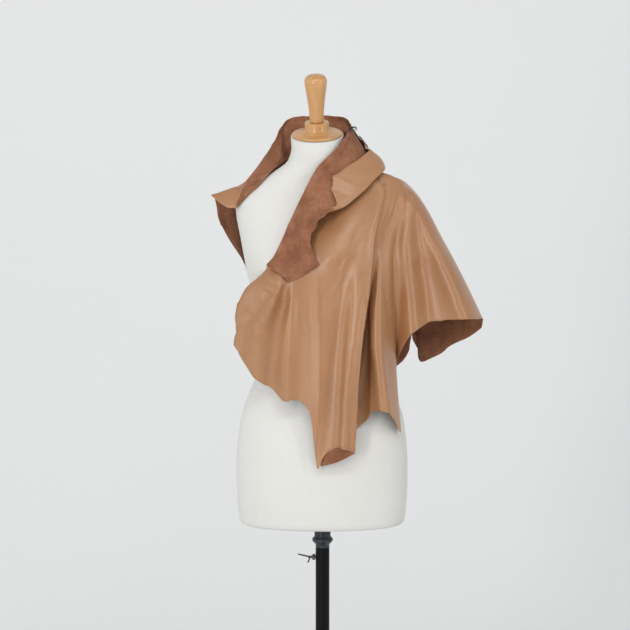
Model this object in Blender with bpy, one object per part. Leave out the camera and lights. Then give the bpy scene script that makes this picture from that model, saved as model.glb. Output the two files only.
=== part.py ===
"""A leather hide worn as an uneven cape on a dress form, on a stand that slides and turns.

Units are metres; the tables are in millimetres. +Z is up, the viewer in front stands at -Y, and the origin is
on the floor, at the pole's axis. The hide is one sheet. It is set out as sections that run from its turned-out
collar, over the fold at the neckline and down to the hem; smooth curves through the sections make its surface.
"""

import math
from collections import namedtuple

import bmesh
import bpy
import numpy as np
from mathutils import Matrix, Vector

for old in list(bpy.data.objects):
    bpy.data.objects.remove(old)

MM = 0.001
GAP = 0.3

# Stand: a round base, a tube, a rod that slides in the tube, and a turned collar on the rod
BASE_RADIUS = 190.0
BASE_EDGE = 9.0
BASE_HUB_RADIUS = 24.0
BASE_HUB_TOP = 42.0
TUBE_RADIUS = 14.0
TUBE_BORE = 11.6
TUBE_TOP = 672.0
TUBE_FOOT = 6.0
ROD_RADIUS = 11.0
ROD_BOTTOM = 190.0
COLLAR_RADIUS = 21.0
SCREW_HEIGHT = 652.0
SCREW_RADIUS = 3.0
BOSS_RADIUS = 6.0
BOSS_LENGTH = 5.0
ROUND_SIDES = 36

# Dress form: its heights and the tilt of the neck's top
FORM_BOTTOM = 724.0
NECK_TOP = 1503.0
NECK_TILT = math.radians(14)
NECK_TILT_START = 1450.0
FORM_SIDES = 40
SHOULDER_RINGS_FROM = 1150.0
BUST_HEIGHT = 1236.0
BUST_SWELL = 20.0
BUST_ANGLE = math.radians(37)
BUST_SPREAD = 0.36
BUST_RISE = 44.0

# The neck's wooden cap and its finial
CAP_RADIUS = 50.0
CAP_RING_RADIUS = 24.0
CAP_RING_TOP = 28.0
FINIAL_RADIUS = 22.3
FINIAL_TOP = 125.0
CAP_LEAN = math.radians(-1.5)

# Hide
HIDE_THICKNESS = 1.2
BACK_CLEARANCE = 1.6
WING_CLEARANCE = 3.2
THROAT_SEAT = 1.9
WING_SNUG = 0.3
FOLD_WIDTH = 9.0
FOLD_REACH = 7.0
EYE_DISTANCE = 5000.0
EYE_HEIGHT = 1700.0

# One row for each level of the form: half widths to the side, to the front and to the back, and its centre
Level = namedtuple("Level", "height side front back centre_x centre_y")
FORM_LEVELS = [
    Level(724, 166, 110, 116, -1, 0),
    Level(780, 171, 115, 122, -1, 0),
    Level(834, 172, 116, 124, -1, 0),
    Level(894, 169, 112, 120, -1, 0),
    Level(948, 160, 104, 108, -1, 0),
    Level(990, 144, 96, 94, -2, 0),
    Level(1044, 122, 88, 80, -3, 0),
    Level(1100, 124, 92, 82, -4, 0),
    Level(1174, 134, 102, 92, -4, 0),
    Level(1236, 147, 106, 102, -5, 2),
    Level(1300, 159, 99, 108, -5, 4),
    Level(1354, 168, 84, 102, -5, 6),
    Level(1380, 168, 72, 88, -5, 6),
    Level(1396, 154, 62, 74, -6, 5),
    Level(1412, 126, 56, 64, -7, 2),
    Level(1430, 92, 54, 58, -8, -3),
    Level(1448, 64, 53, 55, -9, -8),
    Level(1466, 54, 53, 53, -10, -11),
    Level(1503, 52, 52, 52, -11, -12),
]

# The hide's sections, from the front's free edge round the neck to the wing at the other shoulder. Each place is
# (across, up, depth) in millimetres as seen from the front: depth is behind the pole, minus is nearer the viewer.
# flap: raw edge of the part folded back. edge: the collar's outer edge. roll: the middle of the collar.
# neck: the fold at the neckline. stack: how far the layer below the collar keeps off the form.
Section = namedtuple("Section", "name stack flap edge roll neck shoulder breast waist hem")
SECTIONS = [
    Section("free edge", 4,
            (-69, 1212, -118), (-75, 1218, -116), (-88, 1230, -112), (-107, 1244, -98),
            (-126, 1222, -98), (-152, 1194, -92), (-172, 1160, -80), (-178, 1084, -70)),
    Section("gather", 4,
            (-10, 1246, -134), (-17, 1244, -134), (-56, 1250, -128), (-90, 1276, -110),
            (-80, 1232, -126), (-94, 1172, -134), (-120, 1112, -118), (-134, 1020, -96)),
    Section("lobe", 4,
            (-22, 1288, -130), (-29, 1288, -128), (-46, 1306, -118), (-74, 1310, -100),
            (-60, 1240, -124), (-64, 1150, -131), (-68, 1064, -127), (-70, 972, -120)),
    Section("notch", 4,
            (-22, 1320, -122), (-28, 1321, -122), (-42, 1330, -116), (-60, 1342, -96),
            (-30, 1250, -124), (-32, 1164, -132), (-34, 1060, -132), (-36, 962, -128)),
    Section("leg", 5,
            (12, 1351, -125), (11, 1349, -118), (-14, 1362, -108), (-40, 1384, -84),
            (4, 1270, -124), (2, 1154, -136), (0, 994, -137), (-9, 831, -134)),
    Section("leg middle", 8,
            (28, 1366, -112), (42, 1360, -108), (8, 1388, -96), (-26, 1412, -70),
            (54, 1340, -104), (46, 1230, -136), (36, 1080, -144), (30, 875, -150)),
    Section("pleat edge", 15,
            (18, 1398, -96), (70, 1382, -92), (26, 1410, -84), (-10, 1442, -58),
            (112, 1404, -50), (103, 1298, -110), (80, 1100, -150), (64, 864, -150)),
    Section("pleat inner", 9,
            (22, 1420, -88), (86, 1396, -80), (38, 1424, -74), (2, 1458, -52),
            (117, 1407, -46), (105, 1294, -105), (48, 1090, -128), (-4, 838, -128)),
    Section("valley", 4,
            (42, 1436, -74), (104, 1416, -62), (52, 1438, -62), (12, 1471, -48),
            (126, 1417, -36), (109, 1289, -101), (88, 1074, -88), (85, 929, -104)),
    Section("ridge", 4,
            (70, 1454, -52), (123, 1434, -36), (64, 1458, -46), (22, 1484, -44),
            (137, 1420, -26), (116, 1272, -99), (110, 1080, -122), (122, 950, -122)),
    Section("corner", 4,
            (94, 1474, -22), (122, 1442, -8), (68, 1474, -32), (32, 1496, -38),
            (146, 1417, -20), (134, 1256, -93), (137, 1080, -86), (157, 907, -62)),
    Section("side", 4,
            (84, 1476, 20), (104, 1450, 26), (68, 1486, -6), (42, 1503, -24),
            (151, 1412, -18), (147, 1264, -81), (149, 1140, -64), (147, 1040, -42)),
    Section("cape fold", 4,
            (82, 1488, 44), (92, 1466, 46), (67, 1495, 16), (48, 1508, -6),
            (157, 1407, -17), (170, 1276, -80), (178, 1194, -80), (184, 1110, -84)),
    Section("cape hollow", 4,
            (74, 1496, 58), (80, 1480, 60), (63, 1505, 32), (50, 1510, 8),
            (163, 1402, -15), (197, 1282, -56), (212, 1204, -60), (220, 1132, -64)),
    Section("cape ridge", 5,
            (66, 1507, 68), (69, 1495, 72), (58, 1513, 46), (49, 1510, 20),
            (169, 1398, -11), (220, 1284, -56), (252, 1214, -68), (288, 1135, -76)),
    Section("cape outer", 5,
            (56, 1522, 74), (57, 1512, 78), (52, 1516, 56), (46, 1510, 32),
            (173, 1397, 4), (242, 1288, 20), (282, 1210, 22), (320, 1132, 14)),
    Section("cape back", 5,
            (52, 1530, 72), (52, 1522, 80), (44, 1518, 62), (38, 1506, 42),
            (160, 1412, 38), (206, 1288, 98), (232, 1190, 108), (256, 1083, 100)),
    Section("cape tail", 4,
            (44, 1537, 76), (43, 1529, 79), (36, 1517, 65), (30, 1500, 49),
            (124, 1419, 66), (162, 1288, 116), (190, 1178, 116), (195, 1050, 110)),
    Section("back right", 4,
            (28, 1540, 77), (26, 1532, 76), (22, 1516, 66), (16, 1494, 55),
            (80, 1420, 86), (118, 1290, 124), (156, 1196, 122), (180, 1110, 116)),
    Section("back side", 3,
            (8, 1541, 78), (6, 1533, 76), (4, 1516, 67), (2, 1492, 57),
            (32, 1412, 94), (60, 1292, 126), (112, 1190, 124), (168, 1062, 114)),
    Section("back", 2,
            (-24, 1540, 77), (-24, 1532, 75), (-22, 1512, 67), (-19, 1488, 57),
            (-30, 1400, 98), (-34, 1290, 124), (0, 1160, 122), (44, 1008, 112)),
    Section("back left", 2.5,
            (-66, 1536, 62), (-68, 1528, 60), (-66, 1500, 54), (-52, 1470, 42),
            (-116, 1402, 80), (-140, 1330, 100), (-146, 1270, 104), (-146, 1220, 98)),
    Section("shoulder", 4,
            (-96, 1490, 26), (-94, 1482, 22), (-83, 1462, 2), (-72, 1446, 4),
            (-132, 1424, 24), (-160, 1372, 64), (-166, 1310, 76), (-157, 1250, 76)),
    Section("wing root", 4,
            (-137, 1431, -6), (-136, 1423, -12), (-134, 1409, -23), (-132, 1393, -32),
            (-158, 1407, 8), (-178, 1374, 36), (-188, 1330, 54), (-184, 1292, 62)),
    Section("wing back", 4,
            (-142, 1425, -11), (-142, 1417, -17), (-142, 1402, -27), (-141, 1386, -33),
            (-166, 1402, 3), (-186, 1386, 20), (-201, 1362, 32), (-207, 1336, 38)),
    Section("wing", 4,
            (-147, 1419, -16), (-148, 1411, -22), (-149, 1396, -31), (-150, 1378, -34),
            (-173, 1399, -6), (-191, 1394, -2), (-206, 1389, 2), (-219, 1385, 4)),
    Section("wing end", 4,
            (-157, 1405, -22), (-159, 1398, -26), (-164, 1379, -32), (-171, 1358, -28),
            (-188, 1359, -24), (-199, 1365, -17), (-211, 1374, -9), (-222, 1384, -2)),
]
TURNED = ("pleat edge", "pleat inner")
FREE_OF_FORM = ("wing root", "wing back", "wing", "wing end")

# How far each line along the hide keeps off the form, how wide the pleat's folds are there as a share of a fold's
# full width, and how many steps lie between the line and the next one
Line = namedtuple("Line", "name keep_off pleat steps")
LINES = [
    Line("flap", 15, 0, 3),
    Line("edge over", 15, 0, 2),
    Line("edge", 14, 0, 2),
    Line("edge under", 13, 0, 3),
    Line("roll", 13, 0, 3),
    Line("neck over", 12, 0, 2),
    Line("neck", 7.5, 0, 2),
    Line("neck under", 3.2, 0, 2),
    Line("throat", 1.9, 0, 3),
    Line("shoulder", 0, 0, 5),
    Line("breast", 0, 0.3, 5),
    Line("waist", 0, 1, 6),
    Line("hem", 0, 1, 0),
]
ACROSS_STEPS = 2

# Soft ridges (plus) and troughs (minus): where they start and end, counted in sections and lines
Crease = namedtuple("Crease", "start_section start_line end_section end_line height width")
CREASES = [
    Crease(1.00, 9.0, 0.95, 12.0, 9, 0.16),
    Crease(0.72, 9.0, 0.60, 11.6, -9, 0.14),
    Crease(0.45, 9.0, 0.35, 11.4, 6, 0.14),
    Crease(1.45, 9.0, 1.35, 12.0, -8, 0.20),
    Crease(2.10, 9.2, 2.05, 12.0, 6, 0.30),
    Crease(5.55, 9.6, 5.45, 12.0, 7, 0.16),
    Crease(4.80, 9.8, 4.70, 12.0, -6, 0.40),
    Crease(17.6, 9.3, 17.4, 12.0, 8, 0.45),
    Crease(19.5, 9.3, 19.3, 12.0, 9, 0.45),
    Crease(20.5, 9.3, 20.4, 12.0, 8, 0.35),
]

# Bumps (plus) and bays (minus) of the raw edge. On the hem, place and width are counted in sections; on the front's
# free edge they are counted in lines.
Wave = namedtuple("Wave", "edge place reach width")
WAVES = [
    Wave("front", 9.9, 4, 0.55),
    Wave("front", 11.5, -5, 0.35),
    Wave("hem", 0.5, 3, 0.3),
    Wave("hem", 2.5, -5, 0.3),
    Wave("hem", 4.5, -8, 0.3),
    Wave("hem", 8.5, -8, 0.3),
    Wave("hem", 15.5, 7, 0.3),
]

# Layers that lie on each other, lowest first: the upper and the lower one's sections and lines, and the side of
# the lower one that faces the upper, minus for the grain
Layer = namedtuple("Layer", "upper_sections upper_lines lower_sections lower_lines lower_side")
BODY_LINES = (10.1, 12)
LAYERS = [
    Layer((6.2, 6.8), BODY_LINES, (7.2, 10), BODY_LINES, -1),
    Layer((3.5, 5.8), BODY_LINES, (7.2, 10), BODY_LINES, -1),
    Layer((3.5, 5.8), BODY_LINES, (6.2, 6.8), BODY_LINES, 1),
    Layer((0, 4.7), (0, 5), (0, 10), (7, 12), -1),
    Layer((4.7, 26), (0.8, 5), (0, 26), (7, 12), -1),
    Layer((4.8, 14), (0, 1), (3, 15), (2.8, 6), 1),
]
LAYER_GAP = 4.4
LAYER_REACH = 14.0
LAYER_DEPTH = 26.0

# The small clip that pinches the collar: the section that each jaw crosses, between which lines it runs, and the
# side of the leather that it lies on, minus for the grain
Jaw = namedtuple("Jaw", "name section first_line last_line side")
CLIP_JAWS = [
    Jaw("clip_outer_jaw", "cape hollow", 0, 1, -1),
    Jaw("clip_inner_jaw", "cape ridge", 4, 5, 1),
]
JAW_WIDTH = 3.6
JAW_THICKNESS = 1.8
JAW_CLEARANCE = 0.85


def spline(knots, values, at):
    """Smooth curve through values at knots, with chord-weighted slopes, read at the places in at."""
    knots = np.asarray(knots, float)
    values = np.asarray(values, float)
    span = np.diff(knots)
    slope = np.diff(values) / span
    inner = (slope[:-1] * span[1:] + slope[1:] * span[:-1]) / (span[1:] + span[:-1])
    slopes = np.concatenate([slope[:1], inner, slope[-1:]])
    at = np.clip(at, knots[0], knots[-1])
    i = np.clip(np.searchsorted(knots, at, side="right") - 1, 0, len(span) - 1)
    t = (at - knots[i]) / span[i]
    return (
        values[i] * (1 + 2 * t) * (1 - t) ** 2
        + slopes[i] * span[i] * t * (1 - t) ** 2
        + values[i + 1] * t**2 * (3 - 2 * t)
        + slopes[i + 1] * span[i] * t**2 * (t - 1)
    )


def form_level(height):
    """The form's half widths and centre at a height, as a Level of arrays."""
    heights = [level.height for level in FORM_LEVELS]
    columns = [
        spline(heights, [getattr(level, name) for level in FORM_LEVELS], height)
        for name in Level._fields
    ]
    return Level(*columns)


def form_radius(angle, height):
    """The form's horizontal radius about its centre, with its two bust swells."""
    level = form_level(height)
    depth = np.where(np.sin(angle) < 0, level.front, level.back)
    power = 2.25
    ellipse = (np.abs(np.cos(angle)) / level.side) ** power + (np.abs(np.sin(angle)) / depth) ** power
    radius = ellipse ** (-1 / power)
    rise = np.exp(-(((height - BUST_HEIGHT) / BUST_RISE) ** 2))
    for side in (-1, 1):
        turn = angle + math.pi / 2 - side * BUST_ANGLE
        turn = (turn + math.pi) % (2 * math.pi) - math.pi
        radius = radius + BUST_SWELL * rise * np.exp(-((turn / BUST_SPREAD) ** 2))
    return radius


def form_distance(points):
    """Roughly how far each point lies outside the form, from its horizontal radius there."""
    level = form_level(points[..., 2])
    x = points[..., 0] - level.centre_x
    y = points[..., 1] - level.centre_y
    return np.hypot(x, y) - form_radius(np.arctan2(y, x), points[..., 2])


def kept_off_form(points, keep_off, seated=False):
    """Points moved straight out from the form until each is keep_off away, or moved to lie just so far off."""
    points = points.copy()
    step = 0.5
    for _ in range(8):
        height = points[..., 2]
        here = form_distance(points)
        slope = np.stack(
            [
                (form_distance(points + step * axis) - here) / step
                for axis in np.eye(3)
            ],
            axis=-1,
        )
        steep = np.linalg.norm(slope, axis=-1)
        away = here / steep
        short = np.clip(keep_off - away, -12 if seated else 0, 12)
        short = np.where(height > FORM_BOTTOM, short, 0)
        points += slope / steep[..., None] * short[..., None]
    return points


def finished(name, mesh, colour, roughness, metallic=0.0, smooth_angle=40):
    """An object made of mesh, shaded smooth, with its own material."""
    material = bpy.data.materials.new(name)
    material.use_nodes = True
    shader = material.node_tree.nodes["Principled BSDF"]
    shader.inputs["Base Color"].default_value = (*colour, 1)
    shader.inputs["Roughness"].default_value = roughness
    shader.inputs["Metallic"].default_value = metallic
    mesh.materials.append(material)
    mesh.shade_smooth()
    mesh.set_sharp_from_angle(angle=math.radians(smooth_angle))
    piece = bpy.data.objects.new(name, mesh)
    bpy.context.collection.objects.link(piece)
    return piece


def mesh_from(name, points, faces):
    """A mesh in metres from points in millimetres."""
    mesh = bpy.data.meshes.new(name)
    mesh.from_pydata([tuple(MM * c for c in p) for p in points], [], faces)
    mesh.update()
    return mesh


def turned(name, profile, sides=ROUND_SIDES):
    """A turned solid from (radius, height) pairs in millimetres, listed bottom to top."""
    points, faces = [], []
    for radius, height in profile:
        for k in range(sides):
            angle = 2 * math.pi * k / sides
            points.append((radius * math.cos(angle), radius * math.sin(angle), height))
    for row in range(len(profile) - 1):
        for k in range(sides):
            a = row * sides + k
            b = row * sides + (k + 1) % sides
            faces.append((a, b, b + sides, a + sides))
    faces.append(tuple(reversed(range(sides))))
    faces.append(tuple(range((len(profile) - 1) * sides, len(profile) * sides)))
    return mesh_from(name, points, faces)


def arc(centre, radius, start, end, steps):
    """(radius, height) pairs on an arc round centre, from start to end in degrees."""
    turns = [math.radians(start + (end - start) * k / steps) for k in range(steps + 1)]
    return [(centre[0] + radius * math.cos(t), centre[1] + radius * math.sin(t)) for t in turns]


def cut(piece, cutter_mesh):
    """Cut a hole in piece with a hidden cutter."""
    cutter = bpy.data.objects.new(piece.name + " cutter", cutter_mesh)
    bpy.context.collection.objects.link(cutter)
    cutter.hide_render = True
    cutter.display_type = "WIRE"
    boolean = piece.modifiers.new("hole", "BOOLEAN")
    boolean.operation = "DIFFERENCE"
    boolean.object = cutter
    return cutter


def build_base():
    """A flat round foot with a rounded rim and a hub for the tube."""
    profile = [(BASE_RADIUS - 3, 0), (BASE_RADIUS, 2.5)]
    profile += arc((BASE_RADIUS - 4, BASE_EDGE - 2), 4, 0, 80, 4)
    profile += [(70, 15), (BASE_HUB_RADIUS + 8, 19)]
    profile += [(BASE_HUB_RADIUS, 26), (BASE_HUB_RADIUS, BASE_HUB_TOP - 3), (BASE_HUB_RADIUS - 3, BASE_HUB_TOP)]
    base = finished("stand_base", turned("stand_base", profile), (0.02, 0.02, 0.022), 0.45, 0.6)
    socket = turned("socket", [(TUBE_RADIUS + GAP, TUBE_FOOT - GAP), (TUBE_RADIUS + GAP, BASE_HUB_TOP + 5)])
    cut(base, socket)


def build_tube():
    """The fixed tube, open at the top, with a boss for the wing screw."""
    tube_mesh = turned("stand_tube", [(TUBE_RADIUS, TUBE_FOOT), (TUBE_RADIUS, TUBE_TOP)])
    tube = finished("stand_tube", tube_mesh, (0.015, 0.015, 0.018), 0.3, 0.7)
    bore = turned("bore", [(TUBE_BORE, 60), (TUBE_BORE, TUBE_TOP + 5)])
    cut(tube, bore)
    screw_hole = turned("screw hole", [(SCREW_RADIUS + GAP, 8), (SCREW_RADIUS + GAP, 20)], 16)
    hole = cut(tube, screw_hole)
    hole.rotation_euler = (0, -math.pi / 2, 0)
    hole.location = (0, 0, SCREW_HEIGHT * MM)


def build_rod_and_collar():
    """The sliding rod, and the turned collar that carries the form and stops on the tube."""
    top = FORM_BOTTOM - GAP
    low = TUBE_TOP + GAP
    profile = [(ROD_RADIUS - 1, ROD_BOTTOM), (ROD_RADIUS, ROD_BOTTOM + 1.5), (ROD_RADIUS, low)]
    profile += [(TUBE_RADIUS, low), (TUBE_RADIUS, low + 6), (17, low + 9)]
    profile += arc((COLLAR_RADIUS - 6, low + 16), 6, -60, 75, 5)
    profile += [(16.4, low + 24), (16.4, top)]
    finished("height_rod", turned("height_rod", profile), (0.06, 0.075, 0.10), 0.3, 0.5)


def build_wing_screw():
    """A wing screw at the tube's side: its shank, its boss, a short ear and a long lever."""
    def bar(start, end, width, height):
        shape = bmesh.new()
        bmesh.ops.create_cube(shape, size=1)
        middle = [(a + b) / 2 for a, b in zip(start, end)]
        run = Vector(end) - Vector(start)
        turn = run.to_track_quat("X", "Z").to_matrix().to_4x4()
        scale = Matrix.Diagonal((run.length, width, height, 1))
        bmesh.ops.transform(shape, matrix=Matrix.Translation(middle) @ turn @ scale, verts=shape.verts)
        bmesh.ops.bevel(shape, geom=shape.edges, offset=0.3 * min(width, height), segments=1, affect="EDGES")
        bar_mesh = bpy.data.meshes.new("bar")
        shape.to_mesh(bar_mesh)
        bar_mesh.transform(Matrix.Scale(MM, 4))
        shape.free()
        return bar_mesh

    start = ROD_RADIUS + GAP
    boss = TUBE_RADIUS + GAP + 0.5
    profile = [(SCREW_RADIUS - 0.8, start), (SCREW_RADIUS, start + 0.8), (SCREW_RADIUS, boss)]
    profile += [(BOSS_RADIUS, boss), (BOSS_RADIUS, boss + BOSS_LENGTH), (BOSS_RADIUS - 1, boss + BOSS_LENGTH + 1)]
    profile += [(2.6, boss + BOSS_LENGTH + 1.5), (2.6, boss + BOSS_LENGTH + 9)]
    screw = finished("wing_screw", turned("wing_screw", profile, 20), (0.35, 0.35, 0.36), 0.35, 1.0)
    root = boss + BOSS_LENGTH + 5
    wings = [
        ((0, 0, root), (6, 0, root + 25), 4.0, 3.0),
        ((0, 0, root), (-12, 0, root + 5), 4.5, 3.0),
    ]
    for start_point, end_point, width, height in wings:
        wing = bpy.data.objects.new("wing cutter", bar(start_point, end_point, width, height))
        bpy.context.collection.objects.link(wing)
        wing.hide_render = True
        wing.display_type = "WIRE"
        wing.parent = screw
        join = screw.modifiers.new("wing", "BOOLEAN")
        join.operation = "UNION"
        join.object = wing
    screw.rotation_euler = (0, -math.pi / 2, 0)
    screw.location = (0, 0, SCREW_HEIGHT * MM)


def build_form():
    """The linen-covered torso and neck: one closed solid with a flat bottom and a tilted neck top."""
    heights = [level.height for level in FORM_LEVELS]
    between = [(low + high) / 2 for low, high in zip(heights, heights[1:]) if low > SHOULDER_RINGS_FROM]
    heights = sorted(heights + between)
    angles = 2 * math.pi * np.arange(FORM_SIDES) / FORM_SIDES
    rim = 9.0
    rings = [(FORM_BOTTOM, rim), (FORM_BOTTOM + 2.5, rim * 0.35)] + [(h, 0) for h in heights[1:]]
    points, faces = [], []
    for height, inset in rings:
        level = form_level(np.array(height))
        radius = form_radius(angles, np.full(FORM_SIDES, height)) - inset
        tilt = np.clip((height - NECK_TILT_START) / (NECK_TOP - NECK_TILT_START), 0, 1)
        for angle, r in zip(angles, radius):
            x = r * math.cos(angle)
            y = r * math.sin(angle)
            z = height + tilt * (y * math.tan(NECK_TILT) - x * math.tan(CAP_LEAN))
            points.append((x + float(level.centre_x), y + float(level.centre_y), z))
    for row in range(len(rings) - 1):
        for k in range(FORM_SIDES):
            a = row * FORM_SIDES + k
            b = row * FORM_SIDES + (k + 1) % FORM_SIDES
            faces.append((a, b, b + FORM_SIDES, a + FORM_SIDES))
    faces.append(tuple(reversed(range(FORM_SIDES))))
    faces.append(tuple(range(len(points) - FORM_SIDES, len(points))))
    finished("form_torso", mesh_from("form_torso", points, faces), (0.76, 0.74, 0.70), 0.9)


def build_cap():
    """The turned wooden cap on the neck's tilted top, and the finial that stands in it."""
    disc = [(CAP_RADIUS - 2, GAP + 0.1), (CAP_RADIUS, 2), (CAP_RADIUS, 3.5), (CAP_RADIUS - 1.5, 5), (32, 7.5)]
    ring = [(29, 10), (CAP_RING_RADIUS + 1, 11), (CAP_RING_RADIUS, 13)]
    ring += [(CAP_RING_RADIUS, CAP_RING_TOP - 2), (CAP_RING_RADIUS - 2, CAP_RING_TOP)]
    cap = finished("neck_cap", turned("neck_cap", disc + ring), (0.60, 0.36, 0.15), 0.4)
    low = CAP_RING_TOP + GAP
    finial_profile = [(12.5, low), (14, low + 1.5), (14.5, low + 14), (17, low + 40), (20.6, low + 66)]
    finial_profile += arc((FINIAL_RADIUS - 12, FINIAL_TOP - 14), 12, -8, 60, 5)
    finial_profile += [(9.5, FINIAL_TOP - 1), (4, FINIAL_TOP)]
    finial = finished("finial", turned("finial", finial_profile), (0.60, 0.36, 0.15), 0.4)
    seat = Level(*[float(column) for column in form_level(np.array(NECK_TOP))])
    for piece in (cap, finial):
        piece.location = (seat.centre_x * MM, seat.centre_y * MM, NECK_TOP * MM)
        piece.rotation_euler = (NECK_TILT, CAP_LEAN, 0)


def placed(seen):
    """World places of points given as (across, up, depth) as they look from the front."""
    seen = np.asarray(seen, float)
    nearer = 1 + seen[..., 2] / EYE_DISTANCE
    return np.stack(
        [
            seen[..., 0] * nearer,
            seen[..., 2],
            EYE_HEIGHT + (seen[..., 1] - EYE_HEIGHT) * nearer,
        ],
        axis=-1,
    )


def fold_sides(before, tip, after, width):
    """The two points beside a fold's tip, kept at least width apart where the fold is closed."""
    to_before = before - tip
    to_after = after - tip
    far_before = np.linalg.norm(to_before, axis=-1, keepdims=True)
    far_after = np.linalg.norm(to_after, axis=-1, keepdims=True)
    reach_before = np.minimum(FOLD_REACH, 0.4 * far_before)
    reach_after = np.minimum(FOLD_REACH, 0.4 * far_after)
    first = tip + to_before / far_before * reach_before
    second = tip + to_after / far_after * reach_after
    apart = first - second
    opening = np.linalg.norm(apart, axis=-1, keepdims=True)
    room = 0.9 * np.minimum(far_before, far_after)
    missing = np.clip(np.minimum(width, room) - opening, 0, None) / 2
    apart = apart / np.maximum(opening, 1e-6)
    return first + apart * missing, second - apart * missing


def smooth_through(points, steps):
    """Points on smooth curves along the first axis, with steps[i] steps between point i and the next."""
    gaps = np.linalg.norm(np.diff(points, axis=0), axis=-1, keepdims=True)
    gaps = np.maximum(gaps, 0.05)
    run = np.diff(points, axis=0) / gaps
    inner = (run[:-1] * gaps[1:] + run[1:] * gaps[:-1]) / (gaps[1:] + gaps[:-1])
    slope = np.concatenate([run[:1], inner, run[-1:]])
    curve = []
    for i, count in enumerate(steps):
        for k in range(count):
            t = k / count
            curve.append(
                points[i] * (1 + 2 * t) * (1 - t) ** 2
                + slope[i] * gaps[i] * t * (1 - t) ** 2
                + points[i + 1] * t**2 * (3 - 2 * t)
                + slope[i + 1] * gaps[i] * t**2 * (t - 1)
            )
    curve.append(points[-1])
    return np.array(curve)


def section_net():
    """The hide's control points, one row for each section and one column for each line."""
    rows = []
    for section in SECTIONS:
        flap, edge, roll, neck, *body = placed(section[2:])
        throat = 0.55 * neck + 0.45 * body[0]
        if section.name not in FREE_OF_FORM:
            throat = kept_off_form(throat, THROAT_SEAT, seated=True)
        edge_over, edge_under = fold_sides(flap, edge, roll, FOLD_WIDTH)
        neck_over, neck_under = fold_sides(roll, neck, throat, FOLD_WIDTH)
        rows.append([flap, edge_over, edge, edge_under, roll, neck_over, neck, neck_under, throat, *body])
    return np.array(rows)


def with_pleat_turns(net, stacks):
    """The net with two more sections beside each pleat fold, so that the pleat turns in a round fold."""
    rows, offs, marks = [], [], []
    pleat_width = FOLD_WIDTH * np.array([line.pleat for line in LINES])
    for i, section in enumerate(SECTIONS):
        if section.name in TURNED:
            before, after = fold_sides(net[i - 1], net[i], net[i + 1], pleat_width[:, None])
            rows += [before, net[i], after]
            offs += [stacks[i] * 0.75 + stacks[i - 1] * 0.25, stacks[i], stacks[i] * 0.75 + stacks[i + 1] * 0.25]
            marks += [i - 0.15, i, i + 0.15]
        else:
            rows.append(net[i])
            offs.append(stacks[i])
            marks.append(i)
    return np.array(rows), np.array(offs), np.array(marks)


def hide_surface(across_steps, line_scale):
    """The hide's middle surface as a grid of points, from the front's free edge to the wing's end."""
    stacks = np.array([section.stack for section in SECTIONS], float)
    net, offs, marks = with_pleat_turns(section_net(), stacks)
    line_steps = [max(1, round(line.steps * line_scale)) for line in LINES[:-1]]
    grid = smooth_through(net, [across_steps] * (len(net) - 1))
    grid = smooth_through(np.swapaxes(grid, 0, 1), line_steps)
    grid = np.swapaxes(grid, 0, 1)
    places = np.arange(grid.shape[0]) / across_steps
    section_at = np.interp(places, np.arange(len(marks)), marks)
    stack_at = np.interp(places, np.arange(len(offs)), offs)
    line_at = np.concatenate([[0], np.cumsum(line_steps)])
    line_at = np.interp(np.arange(grid.shape[1]), line_at, np.arange(len(LINES)))
    keep_line = np.interp(line_at, np.arange(len(LINES)), [line.keep_off for line in LINES])
    under = np.clip(line_at - 8, 0, 1)
    wing_at = [section.name for section in SECTIONS].index(FREE_OF_FORM[0])
    snug = np.interp(section_at, [wing_at - 1, wing_at], [1, WING_SNUG])
    keep_off = keep_line[None, :] * snug[:, None] + under[None, :] * stack_at[:, None]
    least = np.interp(section_at, [wing_at - 2, wing_at - 1], [BACK_CLEARANCE, WING_CLEARANCE])
    keep_off = np.maximum(keep_off, least[:, None])
    grid = creased(grid, section_at, line_at)
    grid = waved(grid, section_at, line_at, WAVES)
    grid = kept_off_form(grid, keep_off)
    for _ in range(3):
        for layer in LAYERS:
            upper = part_of(section_at, line_at, layer.upper_sections, layer.upper_lines)
            lower = part_of(section_at, line_at, layer.lower_sections, layer.lower_lines)
            grid = laid_over(grid, upper, lower, layer.lower_side)
    return grid


def part_of(section_at, line_at, sections, lines):
    """Which points of the grid lie between two sections and two lines."""
    in_sections = (section_at >= sections[0]) & (section_at <= sections[1])
    in_lines = (line_at >= lines[0]) & (line_at <= lines[1])
    return in_sections[:, None] & in_lines[None, :]


def laid_over(grid, upper, lower, lower_side):
    """The grid with its upper part moved clear of its lower part, softly."""
    normals = surface_normals(grid) * lower_side
    offset = grid[upper][:, None, :] - grid[lower][None, :, :]
    nearest = np.argmin(np.linalg.norm(offset, axis=-1), axis=1)
    offset = offset[np.arange(len(nearest)), nearest]
    normal = normals[lower][nearest]
    height = np.sum(offset * normal, axis=-1)
    aside = np.linalg.norm(offset - height[:, None] * normal, axis=-1)
    short = np.where((aside < LAYER_REACH) & (height > -LAYER_DEPTH), LAYER_GAP - height, 0)
    needed = np.zeros_like(grid)
    needed[upper] = np.clip(short, 0, None)[:, None] * normal
    need = np.linalg.norm(needed, axis=-1, keepdims=True)
    moved = needed
    for _ in range(4):
        padded = np.pad(moved, ((1, 1), (1, 1), (0, 0)), mode="edge")
        blurred = (
            padded[:-2, 1:-1] + padded[2:, 1:-1] + padded[1:-1, :-2] + padded[1:-1, 2:] + moved
        ) / 5
        shorter = np.linalg.norm(blurred, axis=-1, keepdims=True) < need
        moved = np.where(shorter, needed, blurred)
    return grid + moved


def surface_normals(grid):
    """Unit normals of the grid, on its flesh side."""
    along = np.gradient(grid, axis=0)
    down = np.gradient(grid, axis=1)
    normal = np.cross(along, down)
    length = np.linalg.norm(normal, axis=-1, keepdims=True)
    return normal / np.maximum(length, 1e-9)


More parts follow.
